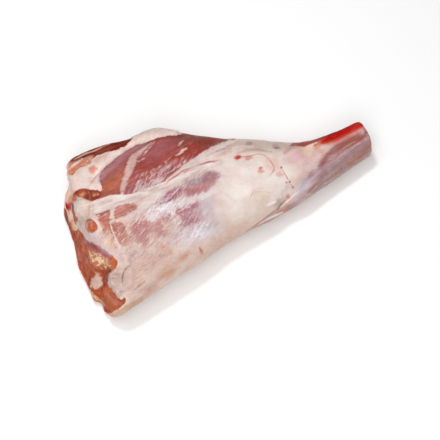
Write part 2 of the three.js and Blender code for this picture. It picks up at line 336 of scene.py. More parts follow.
def rounded(points, closed):
    """A smooth curve through the points (Catmull-Rom), as a fine polyline."""
    p = np.array(points, float)
    before = np.roll(p, 1, 0) if closed else np.vstack([2 * p[0] - p[1], p[:-1]])
    after = np.roll(p, -1, 0) if closed else np.vstack([p[1:], 2 * p[-1] - p[-2]])
    beyond = np.roll(p, -2, 0) if closed else np.vstack([p[2:], after[-1], 2 * after[-1] - p[-1]])
    spans = len(p) if closed else len(p) - 1
    out = []
    for i in range(spans):
        steps = max(2, int(np.linalg.norm(after[i] - p[i]) / CURVE_STEP_MM))
        for t in np.arange(steps) / steps:
            out.append(0.5 * (2 * p[i] + (after[i] - before[i]) * t
                              + (2 * before[i] - 5 * p[i] + 4 * after[i] - beyond[i]) * t * t
                              + (3 * p[i] - before[i] - 3 * after[i] + beyond[i]) * t ** 3))
    if not closed:
        out.append(p[-1])
    return np.array(out)


def within(line, chart, reach):
    """The vertices whose chart place is less than reach away from the line's box."""
    low, high = line.min(0) - reach, line.max(0) + reach
    return np.flatnonzero(((chart > low) & (chart < high)).all(1))


def nearest(line, q):
    """For each point: the offset from the nearest place on the line, and how far along it that is, 0 to 1."""
    best = np.full(len(q), np.inf)
    offset = np.zeros_like(q)
    share = np.zeros(len(q))
    lengths = np.linalg.norm(np.diff(line, axis=0), axis=1)
    start = np.concatenate([[0], np.cumsum(lengths)])
    for i, length in enumerate(lengths):
        way = line[i + 1] - line[i]
        t = np.clip(((q - line[i]) @ way) / max(length * length, TINY), 0, 1)
        d = q - line[i] - t[:, None] * way
        squared = (d * d).sum(1)
        closer = squared < best
        best[closer] = squared[closer]
        offset[closer] = d[closer]
        share[closer] = (start[i] + t[closer] * length) / start[-1]
    return offset, share


def width_along(share, half_widths):
    """The half width at each share of a line, from those given from its start to its end."""
    return np.interp(share, np.linspace(0, 1, len(half_widths)), half_widths)


print("a ring through 4 places:", len(rounded([(0, 0), (30, 0), (30, 30), (0, 30)], closed=True)), "points")

# %% Signed distances
FAR = 14.0


def inside(points):
    """Signed distance to a closed outline, above 0 inside."""
    line = rounded(points, closed=True)
    line = np.vstack([line, line[:1]])
    at = within(line, CHART, FAR)
    q = CHART[at]
    distance = np.linalg.norm(nearest(line, q)[0], axis=1)
    crossings = np.zeros(len(q), bool)
    for a, b in zip(line[:-1], line[1:]):
        spans = (a[1] > q[:, 1]) != (b[1] > q[:, 1])
        x = a[0] + (q[:, 1] - a[1]) / (b[1] - a[1] if b[1] != a[1] else TINY) * (b[0] - a[0])
        crossings ^= spans & (q[:, 0] < x)
    out = np.full(COUNT, -FAR)
    out[at] = np.where(crossings, distance, -np.minimum(distance, FAR))
    return out


def strand(points, half_widths):
    """Signed distance to a line that is half_widths wide on either side."""
    line = rounded(points, closed=False)
    at = within(line, CHART, FAR + max(half_widths))
    offset, share = nearest(line, CHART[at])
    out = np.full(COUNT, -FAR)
    out[at] = np.maximum(width_along(share, half_widths) - np.linalg.norm(offset, axis=1), -FAR)
    return out


def spot(centre, radius, stretch=1.0, degrees=0.0, chart=CHART):
    """Signed distance to an ellipse, stretched in one direction."""
    a = math.radians(degrees)
    d = chart - np.array(centre)
    x = (d[:, 0] * math.cos(a) + d[:, 1] * math.sin(a)) / stretch
    y = d[:, 1] * math.cos(a) - d[:, 0] * math.sin(a)
    return np.maximum(radius - np.hypot(x, y), -FAR)


def soft(distance, width=1.5):
    """0 outside, 1 inside, with an edge that is width mm wide."""
    return smoothstep(-width / 2, width / 2, distance)


print("a spot of 10 mm holds", int((spot((0, 0), 10) > 0).sum()), "vertices")

# %% [markdown]
# ## Coats, fields and clay
#
# Each vertex carries a few layers, which the material reads later. Two coats of colour lie on it: `lean`
# is meat and `white` is fat, gristle or membrane. `cover` says which of them shows, as a distance in mm:
# above 0 the white coat does. `ragged` is how many mm the noise in the material may shift that edge, and
# `gauze` how soft it is, so the same three numbers make a clean step of fat, a torn edge, or thin fascia
# with meat shimmering through. `threads` is how many fine white threads lie on top, `aslant` turns all
# streaks from the leg's grain to the wrinkles' direction, and `grainy` is how speckled the tone is.
# `fibre` is how stringy the meat is and `wet` how glossy. `raised` is relief in mm. Colours are sRGB
# hex, turned to linear by one function.

# %% Layers
def linear(code):
    """An sRGB hex colour as three linear numbers."""
    s = np.array([int(code[i:i + 2], 16) for i in (0, 2, 4)]) / 255
    return np.where(s <= 0.04045, s / 12.92, ((s + 0.055) / 1.055) ** 2.4)


EVERYWHERE = np.ones(COUNT)
START_COATS = {"lean": "B4807A", "white": "DCC8BE"}
START_LEVELS = {"cover": 3.0, "ragged": 2.0, "gauze": 2.0, "threads": 0.0, "aslant": 0.0, "grainy": 0.5,
                "fibre": 0.2, "wet": 0.4}
layers = {name: np.tile(linear(code), (COUNT, 1)) for name, code in START_COATS.items()}
layers.update({name: np.full(COUNT, level) for name, level in START_LEVELS.items()})
raised = np.zeros(COUNT)

BARE = {"cover": -6.0, "ragged": 1.0, "gauze": 0.5}
WHITE_EDGE_MM = 3.0
FACE_EDGE = 0.3


def lay(amount, where=face, **targets):
    """Blends layers towards targets, a hex colour or a number, where amount is above 0."""
    share = np.clip(amount * where, 0, 1)
    for name, target in targets.items():
        goal = linear(target) if isinstance(target, str) else target
        layer = layers[name]
        layer += (share[:, None] if layer.ndim == 2 else share) * (goal - layer)


def paint(shape, blur, share=1.0, where=face, **targets):
    """Lays targets inside a shape, with an edge that is blur mm wide."""
    lay(soft(shape, blur) * share, where, **targets)


def mottle(mask, coat, rows, where=face):
    """Tints one coat of a mask in blotches. Each row: a pattern, where it starts and is full, share, tone."""
    for pattern, start, full, share, code in rows:
        lay(mask * smoothstep(start, full, pattern) * share, where, **{coat: code})


def patch_of_white(distance, code, ragged=0.8, gauze=0.35):
    """White tissue with an edge of its own, wherever distance is above 0."""
    paint(distance + WHITE_EDGE_MM / 2, WHITE_EDGE_MM, white=code, ragged=ragged, gauze=gauze)
    np.maximum(layers["cover"], np.where(face > FACE_EDGE, distance, -FAR), out=layers["cover"])


def lift(mm, amount):
    """Raises the surface where amount is above 0. A negative mm makes a groove."""
    raised[:] += mm * amount * face


print("layers:", ", ".join(layers))

# %% [markdown]
# ## The fell, which covers everything
#
# The fell is the thin papery skin of fat and membrane over the whole leg. It is creamy and a little
# pink, with redder patches where muscle shows through, and it runs in long streaks along the leg. The
# far side and the underside have little else, so it is laid everywhere first.

# %% The fell
GRAIN_DEGREES = 27
WRINKLE_DEGREES = 52
LEG_WAY = (0.97, 0.24)
ALONG_THE_LEG = np.column_stack([P[:, 0] * LEG_WAY[0] + P[:, 1] * LEG_WAY[1],
                                 P[:, 1] * LEG_WAY[0] - P[:, 0] * LEG_WAY[1], P[:, 2]])
cloudy = rough_noise(P, 48, 11)
streaky = rough_noise(ALONG_THE_LEG, (60, 10, 10), 21)
layers["cover"] += 2.6 * cloudy + 2.2 * streaky
mottle(EVERYWHERE, "white", [
    (cloudy, 0.0, 0.6, 0.7, "E4D5CB"),
    (-cloudy, 0.1, 0.7, 0.6, "CFAE9F"),
    (streaky, 0.15, 0.6, 0.5, "E8DBD3"),
], EVERYWHERE)
mottle(EVERYWHERE, "lean", [(rough_noise(P, 30, 31), 0.2, 0.7, 0.6, "A1635A")], EVERYWHERE)
tell("fell", layers["cover"])

# %% [markdown]
# ## The lower side
#
# Towards the near edge the fat is thick and smooth: a creamy peach slope, with a few tan patches where it
# has dried.

# %% The lower side
SIDE = [(-142, -137), (-118, -115), (-84, -87), (-58, -68), (-30, -47), (-5, -33), (20, -22), (45, -12),
        (75, 2), (104, 18), (116, 8), (80, -25), (10, -63), (-45, -96), (-93, -123), (-133, -146)]
TAN_PATCHES = (((-71, -83), 7), ((-52, -67), 5), ((-95, -108), 6))
KNIFE_MARK = [(-112, -106), (-106, -101), (-99, -96)]
TAN_STREAK = [(-90, -98), (-76, -90), (-62, -80)]
side = inside(SIDE)
side_streaks = along_chart(31)
side_noise = rough_noise(side_streaks, (34, 7, 20), 41)
on_side = soft(side + 4 * side_noise, 16)
lay(on_side, white="DEC6BB", cover=5.0, ragged=2.0, wet=0.45)
mottle(on_side, "white", [(side_noise, 0.0, 0.6, 0.7, "DCC4B7")])
paint(side - 12 + 6 * side_noise, 8, 0.4, white="CBAA9A")
for centre, radius in TAN_PATCHES:
    tan = spot(centre, radius, 2.0, 33) + 3 * rough_noise(side_streaks, (12, 3, 6), 47)
    paint(tan, 7, 0.6, white="C69A84")
paint(strand(KNIFE_MARK, (0.6, 1.4, 0.8)) + rag(0.6, 3, 48), 2.5, 0.7, white="A88272")
paint(strand(TAN_STREAK, (1, 2.5, 1)) + side_noise, 5, 0.5, white="C29A88")
paint(spot((-71, -86), 3.5, 1.8, 33) + rag(1, 4, 49), 4, 0.6, white="D2A07E")
paint(spot((-49, -64.5), 2.4, 2.2, 33) + rag(1, 3, 49), 3, 0.6, white="CC9884")
tell("lower side", on_side * face)

# %% [markdown]
# ## The inner mass
#
# Below the band lies a mound of thin muscles under a web of fascia: dull pink meat behind whitish gauze.
# Where the gauze is thin, `cover` drops below 0 and patches of meat show with torn, misty edges. The
# gauze is wrinkled aslant to the leg, so its noise runs at 52 degrees on the chart.

# %% The inner mass: its outlines
KNEE = [(-12, 56), (13, 64), (42, 68), (70, 66), (90, 56), (93, 40), (91, 26), (83, 14), (71, 3),
        (50, -12), (27, -20), (8, -24), (-7, -11), (-11, 9), (-4, 26), (4, 36), (-14, 48)]
MASS = [(-165, -45), (-152, -30), (-122, -21), (-103, -9), (-84, 10), (-66, 22), (-46, 33), (-20, 43),
        (4, 44), (20, 38), (22, 14), (10, -14), (-12, -32), (-38, -45), (-62, -52), (-84, -60),
        (-103, -70), (-122, -77), (-133, -68), (-146, -54)]
# Each row of the next two tables: tone of the meat, cover, blur, outline.
THIN_GAUZE = [
    ("B67876", -2.2, 14, [(-115, -21), (-103, -17), (-92, -21), (-93, -35), (-98, -47), (-109, -48),
                          (-116, -37)]),
    ("B4725E", -2.2, 9, [(-138, -23), (-127, -22), (-119, -31), (-119, -46), (-127, -52), (-134, -45),
                         (-139, -33)]),
    ("B8807C", -2.0, 14, [(-91, -21), (-80, -17), (-72, -26), (-74, -38), (-85, -39), (-92, -31)]),
    ("B27A84", -2.4, 14, [(-60, -6), (-48, -1), (-33, 3), (-27, -5), (-27, -17), (-31, -28), (-43, -31),
                          (-51, -27), (-54, -16)]),
]
MUSCLES = [
    ("A3929E", -1.8, 11, [(-50, 27), (-42, 33), (-33, 36), (-22, 39.5), (-12, 43), (-4, 41), (-5, 34),
                          (-13, 27), (-26, 25), (-38, 24)]),
    ("B27678", -3.0, 10, [(-52, 18), (-46, 23), (-36, 24.5), (-25, 24), (-15, 25), (-18, 19), (-25, 13),
                          (-36, 9.5), (-47, 11)]),
    ("A65A6A", -2.6, 9, [(-83, 2), (-76, 10), (-66, 18), (-55, 23), (-52, 15), (-61, 7), (-70, 1),
                         (-79, -2)]),
    ("AC5E6A", -2.2, 8, [(-59, -9), (-52, -4), (-42, 1), (-33, 3), (-34, -2), (-43, -6), (-54, -12)]),
]
MISTY = [(-38, 10), (-24, 14), (-10, 14), (-3, 4), (-6, -10), (-16, -17), (-30, -10)]
WHITE_RIDGE = [(-90, -14), (-76, -6), (-62, 0), (-45, 5), (-27, 11), (-10, 17)]
LAVENDER_SHEEN = [(-50, -30), (-38, -26), (-22, -24), (-10, -30), (-18, -40), (-36, -47), (-50, -46)]
HIGHLIT_GLOSSY_FOLDS = (((-62, 13), 7), ((-79, -5), 6), ((-30, -34), 9), ((-49, -6), 5), ((-72, 5), 6))
DULL_FOOT = [(-122, -62), (-108, -58), (-92, -62), (-84, -72), (-100, -84), (-120, -82)]
print("muscles under the gauze:", len(THIN_GAUZE) + len(MUSCLES))

# %% The inner mass: gauze, muscles and folds
wrinkles = along_chart(WRINKLE_DEGREES)
wrinkle_noise = rough_noise(wrinkles, (11, 2.4, 9), 51)
mass = inside(MASS)
paint(mass + rag(5, 12, 53), 14, white="D8C8C8", lean="B07A76", cover=2.2, ragged=3.4, gauze=3.0,
      threads=0.5, aslant=1.0, grainy=0.9, wet=0.95)
paint(spot((-106, -42), 30, 1.3, -20), 30, 0.7, white="D2B7AD", lean="B8827A", wet=0.7)
for i, (code, cover, blur, outline) in enumerate(THIN_GAUZE):
    paint(inside(outline) + 4.0 * rough_noise(P, 7, 60 + i), blur, lean=code, cover=cover)
paint(inside(MISTY), 28, white="CDBFC4", lean="B09A9F", cover=1.2, ragged=1.6, gauze=5.0, grainy=0.25,
      threads=0.0)
for i, (code, cover, blur, outline) in enumerate(MUSCLES):
    paint(inside(outline) + 2.4 * rough_noise(wrinkles, (12, 3, 8), 70 + i), blur, lean=code, cover=cover,
          ragged=2.4, gauze=3.4, threads=0.2, grainy=0.6)
paint(spot((-18, 33), 7, 2.0, 32) + rag(3, 5, 73), 13, 0.75, lean="A86A6A", cover=-3.4, threads=0.1)
paint(strand(WHITE_RIDGE, (6, 5, 4, 3.5, 3)) + 2.5 * wrinkle_noise, 7, white="DDD2D4", cover=3.6)
# A lavender membrane; its pale tone is partly painted sheen.
paint(inside(LAVENDER_SHEEN) + rag(3, 8, 75), 22, 0.75, white="DDD3DE", lean="B797A2", cover=2.6)
gloss_and_highlight = sum(soft(spot(centre, radius, 1.5, 35), 8) for centre, radius in HIGHLIT_GLOSSY_FOLDS)
# Glossy folds: wetter, and painted paler with white threads as their highlights.
lay(gloss_and_highlight, wet=1.6, threads=0.9, white="E6DEE6")
# A painted highlight on a fold of the fascia.
paint(spot((-79, -4), 4.5, 1.5, 30) + 2 * wrinkle_noise, 5, 0.7, white="E6DEE4", cover=4.0)
lift(0.9, wrinkle_noise * soft(np.minimum(mass, -8 - inside(KNEE)), 12))
dull_foot = inside(DULL_FOOT) + 4 * rough_noise(wrinkles, (14, 4, 9), 77)
paint(dull_foot, 12, 0.6, white="C9AFA6", cover=1.0)
tell("inner mass", soft(mass) * face)

# %% [markdown]
# ## The knee
#
# Over the knee the fascia is thick, white and shiny, so `cover` is high. A grey band of painted shade runs
# along its far edge, and the fascia turns pinker and yellower towards the shank.

# %% The knee
KNEE_TOP = [(-8, 84), (10, 84), (80, 80), (92, 66), (60, 64), (20, 66), (-4, 72)]
GREY_FAR_EDGE = [(8, 79), (30, 82), (50, 80), (70, 79), (84, 75), (82, 69), (70, 68), (56, 70), (39, 70),
                (24, 72), (12, 74)]
GREY_STREAK = [(18, 65), (30, 68), (45, 68), (60, 66)]
FINE_CREASE = [(-5, 17), (5, 11), (14, 5)]
knee = inside(KNEE) + 4 * rough_noise(along_chart(25), (24, 10, 20), 81)
paint(knee + 7, 14, threads=0.0, aslant=0.0, grainy=0.15)
paint(knee, 20, white="E2D4CD", cover=6.0, ragged=2.0, wet=0.8)
paint(knee - 12, 20, 0.8, white="E8E0DB")
paint(spot((44, 8), 12, 1.6, 40) + rag(3, 8, 83), 12, 0.5, white="DCC6B8")
paint(inside(KNEE_TOP), 8, 0.7, white="D8C6BF", cover=3.0)
grey_far_shade = inside(GREY_FAR_EDGE) + 2 * rough_noise(along_chart(-5), (14, 4, 10), 85)
# Painted grey shade along the knee's far edge.
paint(grey_far_shade, 6, 0.42, white="B7A29B", cover=4.0)
paint(spot((65, 73), 3.2, 1.5, -20) + rag(1, 2.5, 87), 2.5, 0.9, front, white="7E5F56")
paint(spot((31, 76), 3.0, 1.4) + rag(1, 2.5, 88), 3, 0.6, front, white="94776E")
paint(spot((0, 70), 7, 2.0, 25) + rag(2, 5, 86), 8, 0.7, white="BF9E9A")
paint(spot((90, 60), 8, 1.6, 20) + rag(2, 5, 89), 8, 0.6, white="D9A6AE")
paint(strand(GREY_STREAK, (0.8, 2, 1.6, 0.6)) + rag(0.8, 4, 90), 3, 0.55, white="A88F88")
paint(spot((62, 50), 10, 1.3, -40) + rag(4, 6, 92), 9, 0.5, white="DDB4AC")
paint(spot((67, 3), 4, 1.6, 35) + rag(2, 4, 94), 5, 0.55, white="BE9A82")
paint(strand(FINE_CREASE, (0.3, 0.7, 0.3)), 2, 0.4, white="B4A6A6")
tell("knee", soft(knee) * face)

# %% [markdown]
# At the knee's lower edge the fascia folds under. The fold is a white ribbon with a brown crease above it,
# and a second ribbon runs from its end up towards the shank. The crease's brown and the darker strip along
# the lower outline are painted shade, and one short white mark is a painted highlight.

# %% Folds at the knee's lower edge
SHADED_LOWER_RIM = [(30, -34), (52, -23), (72, -12), (90, -2), (104, 9), (120, 21)]
# Each row: line, half widths, tone, relief in mm. The two brown rows are painted shade in the crease, and the
# last row is a painted highlight.
KNEE_FOLDS = [
    ([(30, -31.5), (48, -20), (59, -11), (67, -5.5)], (0.3, 1.0, 1.3, 0.8), "AE9185", -0.3),
    ([(67, -5.5), (71, -0.5), (78, 6.5)], (0.8, 1.2, 0.3), "957A72", -0.4),
    ([(44, -24.5), (53, -19), (61, -14.5), (73, -9)], (0.4, 1.3, 1.5, 0.7), "F8F2F0", 0.5),
    ([(70, -8), (79, -7)], (0.9, 0.8), "D98880", 0.3),
    ([(71, -3), (79, 3.8), (86, 10), (98, 20)], (0.5, 0.9, 0.8, 0.4), "F0E8EA", 0.8),
    ([(55, -0.5), (64, 4)], (1.6, 1.2), "F4F0F2", 0.3),
]
shaded_lower_rim = strand(SHADED_LOWER_RIM, (1, 4, 6, 7, 6, 4)) + 4 * rough_noise(P, 14, 84)
# Painted shade along the knee's lower outline.
paint(shaded_lower_rim, 8, 0.9, white="AC8880")
for line, half, code, mm in KNEE_FOLDS:
    mark = strand(line, half) + rag(0.25, 3, 96)
    paint(mark, 1.8, 0.85, front, white=code, cover=5.0, ragged=1.0)
    lift(mm, soft(mark, 2.6) * front)
print("folds at the knee:", len(KNEE_FOLDS))

# %% [markdown]
# ## The shank
#
# The shank is muscle and tendon in a tight grey-pink membrane, with streaks that run down to the sawn
# end. Along its top edge the meat is cut open: a bright red strip with a pale pink band under it.

# %% The shank's bands
# Each row: line, half widths, blur, share, tones.
SHANK_BANDS = [
    ([(92, 10), (101, 24), (109, 38), (114, 48)], (5, 8, 8, 5), 12, 0.8,
     {"white": "D6CAD1", "lean": "BBA5B0", "cover": 2.4}),
    ([(100, 38), (106, 46), (112, 54)], (4, 5, 4), 8, 0.8,
     {"white": "DDC8C6", "lean": "CDB0AE", "cover": 3.0}),
    ([(95, 18), (101, 28), (106, 36)], (1.5, 2.5, 1.5), 4, 0.7, {"white": "BBABBA"}),
    ([(100, 54), (116, 58), (124, 62), (136, 72), (152, 83.5), (171, 93)], (6, 6, 4.5, 4.5, 4, 3.5), 6, 0.9,
     {"white": "D8BCBA", "cover": 3.0}),
    ([(110, 16), (126, 28), (145, 41), (162, 53)], (4, 5, 5, 4), 7, 0.8,
     {"lean": "94716A", "white": "B0958C", "cover": 0.0}),
    ([(157, 54), (168, 62), (178, 70), (184, 76)], (6, 8, 7, 5), 10, 0.8,
     {"lean": "9C6450", "white": "B5826C", "cover": -1.0}),
    ([(121, 33), (138, 47), (155, 61), (170, 71), (180, 79)], (4, 5, 5, 4, 3), 8, 0.8,
     {"lean": "95727A", "white": "AC9296", "cover": 0.4}),
    ([(120, 49), (129, 60), (143, 71), (159, 79), (174, 86)], (2.5, 3, 6, 7.5, 4), 8, 0.9,
     {"lean": "985A54", "white": "AC8080", "cover": -2.0}),
    ([(119, 48), (123, 52), (128, 58)], (1.5, 3, 1.5), 6, 0.6, {"lean": "8E5058", "cover": -2.5}),
    ([(148, 72), (159, 78), (170, 84)], (3, 5, 3), 7, 0.8, {"lean": "A05A4A", "cover": -3.0}),
    ([(122, 36), (125, 40), (127, 45)], (1.5, 3, 1.5), 6, 0.6, {"lean": "98605C", "cover": -1.5}),
    ([(106, 34), (108, 38), (110, 42)], (1.5, 2.4, 1.5), 4, 0.7, {"lean": "B37A76", "cover": -1.5}),
    ([(143, 66), (153, 73), (164, 79)], (0.3, 1.2, 0.3), 2.5, 0.6, {"white": "D3B6B6", "cover": 3.0}),
    ([(136, 52), (150, 64), (164, 73)], (0.3, 1.2, 0.3), 2.5, 0.6, {"white": "D5C3C6", "cover": 3.0}),
    ([(104, 14), (112, 23)], (0.5, 1.0), 1.6, 0.8, {"white": "7E5D57", "cover": 4.0}),
    ([(106, 12), (116, 23)], (0.4, 0.6), 1.6, 0.8, {"white": "D9B9A8", "cover": 4.0}),
    # A painted highlight along the shank's lower edge.
    ([(126, 26.5), (135, 31), (144, 37.5)], (0.5, 0.8, 0.4), 1.6, 0.8, {"white": "EFE3E0", "cover": 4.0}),
    ([(76, 65), (86, 71), (99, 73)], (2, 3, 2), 4, 0.6, {"white": "BB8880", "cover": 3.0}),
    ([(114, 70), (122, 76), (134, 79.5)], (3, 3.4, 2), 4, 0.8, {"white": "D08A76", "cover": 3.0}),
    ([(99, 66), (105, 67.5), (111, 68)], (3, 4.5, 2.5), 5, 0.8, {"white": "E2C6B4", "cover": 3.0}),
    ([(116, 71), (121, 66), (124, 62)], (1.0, 2.0, 1.0), 4, 0.6, {"white": "D99A8C", "cover": 3.0}),
    ([(122, 75.5), (127, 76)], (1.5, 2.2), 3, 0.8, {"white": "E2CAB4", "cover": 3.0}),
]
print("bands on the shank:", len(SHANK_BANDS))

# %% The shank
SHANK = [(108, 46), (125, 64), (142, 75), (161, 84), (182, 95), (200, 81), (200, 66), (184, 50), (156, 40),
         (135, 25), (113, 12), (99, 4), (90, 6), (94, 21), (100, 34)]
BAND_RAGGED = 0.35
THIN_BLUR = 2
shank_streaks = along_chart(35)
shank_noise = rough_noise(shank_streaks, (45, 4.5, 20), 91)
long_streaks = rough_noise(shank_streaks, (38, 2.6, 20), 97)
pale_streaks = rough_noise(shank_streaks, (30, 2.2, 20), 99)
shank = inside(SHANK) + 3 * shank_noise
paint(shank + 4 * pale_streaks, 24, lean="A07278", white="C4A7A8", cover=0.8, ragged=2.4, gauze=4.0,
      fibre=0.7, grainy=0.3, threads=0.0, aslant=0.0, wet=0.6)
for line, half, blur, share, tones in SHANK_BANDS:
    where = face if blur > THIN_BLUR else front
    paint(strand(line, half) + BAND_RAGGED * blur * long_streaks, blur, share, where, **tones)
in_shank = soft(shank - 3, 14)
lay(in_shank * smoothstep(0.1, 0.55, shank_noise) * 0.45, lean="935F66", white="B08C90", cover=-0.5)
lay(in_shank * smoothstep(0.2, 0.6, pale_streaks) * 0.4, white="CFBABD", cover=2.0)
lift(0.4, shank_noise * soft(shank, 8))
tell("shank", soft(shank) * face)

# %% The shank's cut top edge
DARK_TOP = [(81, 74), (88, 78), (99, 82), (110, 85), (122, 89), (125, 82), (116, 78), (107.5, 75.5),
            (101.5, 72.5), (94, 73), (87, 73)]
RED_STRIP = [(121, 79), (135, 90), (153, 100), (166, 107), (176, 107), (175, 99.5), (170, 97), (160, 91),
             (151, 86), (140, 81), (130, 78), (124, 76.5)]
ORANGE_EDGE = [(112, 73.5), (122, 78), (132, 81.5), (142, 86)]
PINK_BAND = [(131, 76), (142, 79), (153, 84.5), (165, 91), (174, 96)]
STRIP_TOP_SHADOW = [(100, 80.5), (114, 83), (124, 84.5), (137, 91), (154, 101), (167, 107.5)]
VEIN_ENDS = ((175.5, 93.5), (178, 91.5), (176.5, 89.5))
paint(inside(DARK_TOP) + rag(0.8, 3, 95), 3, 0.9, lean="96423A", cover=-4.0)
paint(strand(ORANGE_EDGE, (1.2, 1.8, 1.8, 1)) + 0.6 * shank_noise, 3, 0.8, lean="C6583F", cover=-4.0,
      threads=0.0)
paint(strand(PINK_BAND, (1.5, 2.4, 2.6, 2.6, 2.4)) + shank_noise, 4, 0.75, white="CC8A82", lean="CC827A",
      cover=2.0)
red_strip = inside(RED_STRIP) + 1.4 * shank_noise
paint(red_strip + 2, 7, lean="CC5A48", cover=-1.5, gauze=3.0)
paint(red_strip, 6, lean="AD150D", cover=-6.0, fibre=0.9, grainy=0.9, threads=0.0, gauze=2.0, wet=0.2)
mottle(soft(red_strip, 5), "lean", [(pale_streaks, 0.1, 0.5, 0.5, "C2382C")])
# Painted shade: the strip turns darker where its surface turns away from the camera, towards the outline.
mottle(soft(red_strip, 6), "lean", [(turned, 0.45, 0.05, 0.75, "74180F")])
# A painted shadow line along the red strip's upper edge.
paint(strand(STRIP_TOP_SHADOW, (0.8, 1.6, 2.2, 2.6, 2.4, 1.5)), 3.5, 0.8, lean="6E120A", cover=-4.0)
for centre in VEIN_ENDS:
    paint(spot(centre, 1.3, 1.3, 60) + rag(0.4, 2, 98), 1.5, 0.75, lean="75504E", white="75504E")
tell("red strip", soft(red_strip) * face)

# %% [markdown]
# The saw has cut the shank square. Its end shows a ring of dark meat round the bone, three pale tendons,
# and the fell as a thin rim.

# %% The sawn end of the shank
SHANK_HEADING = np.array([1, 0.16, 0.0]) / math.hypot(1, 0.16)
# Each row: how far from the bone's middle, radius.
TENDONS = (((-9, 9), 3.0), ((8, -11), 2.6), ((11, 7), 2.0))
bone_low, bone_high = (np.array(corner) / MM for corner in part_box("shank_bone"))
bone_middle = (bone_low + bone_high) / 2
from_bone = (P - bone_middle)[:, 1:]
sawn = smoothstep(0.55, 0.9, N @ SHANK_HEADING) * (P[:, 0] > bone_low[0])
lay(sawn, EVERYWHERE, lean="84342C", white="D9C3B8", cover=-5.0, ragged=1.0, gauze=0.6, fibre=0.1,
    grainy=0.9, wet=0.5)
mottle(sawn, "lean", [(rough_noise(P, 6, 241), 0.0, 0.5, 0.6, "A35046")], EVERYWHERE)
bone_gap = np.hypot(*from_bone.T) - (bone_high - bone_low)[2] / 2
lay(sawn * smoothstep(2.6, 1.0, bone_gap), EVERYWHERE, white="CFB0A6", cover=3.0)
for offset, radius in TENDONS:
    lay(sawn * soft(spot(offset, radius, chart=from_bone), 1.5), EVERYWHERE, white="DCCBC2", cover=4.0)
tell("sawn end", sawn)

# %% [markdown]
# ## The thigh muscle
#
# The largest red field is the thigh muscle, where the fell has been cut away. It is dark red-brown with
# fine fibres along it. Its upper-left edge has a purple sheen, and a strip of silverskin crosses it.

# %% The thigh muscle: its outlines
THIGH = [(-153, 21), (-158, 25), (-167, 27), (-159, 35), (-150, 46), (-141, 54), (-130, 62), (-115, 72),
         (-103, 77), (-90, 81), (-77, 85), (-54, 88), (-45, 90), (-30, 88), (-5, 88), (20, 88), (12, 81),
         (2, 76), (-13, 71), (-20, 67), (-30, 63), (-38, 57), (-47, 52), (-58, 43), (-64, 38), (-71, 32),
         (-78, 28), (-87, 23), (-95, 19), (-103, 16), (-112, 11), (-122, 10), (-138, 11), (-151, 8),
         (-157, 6), (-167, 6), (-169, 10), (-155, 12)]
PURPLE_SHEEN = [(-157, 31), (-150, 40), (-141, 48), (-130, 58), (-120, 67), (-109, 72), (-98, 76)]
SILVERSKIN = [(-91, 78), (-97.5, 72), (-105, 65), (-112.5, 58.5), (-115.5, 52), (-117.5, 46), (-120, 39.5),
              (-123, 32), (-125.5, 24.5), (-127, 17), (-127, 11)]
SILVERSKIN_HALF_WIDTHS = (0.4, 1.4, 1.7, 3.0, 4.6, 5.0, 4.4, 3.4, 3.0, 2.6, 1.0)
FRAYED_EDGE = [(-126, 12), (-112, 14), (-100, 19), (-88, 24), (-74, 32), (-60, 43), (-48, 52), (-36, 60),
               (-18, 71), (6, 81)]
FRAYED_HALF_WIDTHS = (3, 8, 10, 11, 11, 8, 4, 2, 1, 0.5)
SHADED_FAR_EDGE = [(-64, 90), (-44, 86), (-18, 82), (10, 84)]
# Each row: line, half widths.
NICKS = [
    ([(-51, 80), (-54, 77), (-57, 74)], (0.4, 1.1, 0.4)),
    ([(-47, 70), (-51, 68), (-56, 64), (-61, 61)], (0.8, 1.9, 1.0, 0.3)),
    ([(-75, 51), (-70, 56), (-66, 60)], (0.0, 0.2, 0.0)),
    ([(-86, 79.5), (-90, 75), (-96, 68), (-101, 61)], (0.3, 0.8, 0.6, 0.2)),
    ([(-108, 53.5), (-101, 57), (-95, 62)], (0.2, 0.6, 0.2)),
]
print("nicks in the thigh:", len(NICKS))

# %% The thigh muscle: tones and silverskin
thigh_streaks = along_chart(GRAIN_DEGREES)
thigh_noise = rough_noise(thigh_streaks, (26, 4.5, 20), 101)
thin_streaks = rough_noise(thigh_streaks, (15, 2.4, 12), 109)
on_thigh = soft(inside(THIGH) + rag(0.8, 3, 103), 2.0)
thigh_face = on_thigh * face
lay(on_thigh, lean="96433C", white="CDA5A0", cover=-6.0, ragged=1.0, gauze=0.6, fibre=0.55, threads=0.0,
    grainy=0.8, wet=0.55)
mottle(on_thigh, "lean", [
    (thigh_noise, 0.0, 0.6, 0.5, "A8594F"),
    (-thigh_noise, 0.1, 0.7, 0.5, "82362D"),
    (rough_noise(P, 22, 107), 0.0, 0.6, 0.6, "A85E5C"),
    (rough_noise(P, 16, 108), 0.1, 0.6, 0.5, "81322A"),
    (thin_streaks, 0.15, 0.6, 0.5, "B87A78"),
])
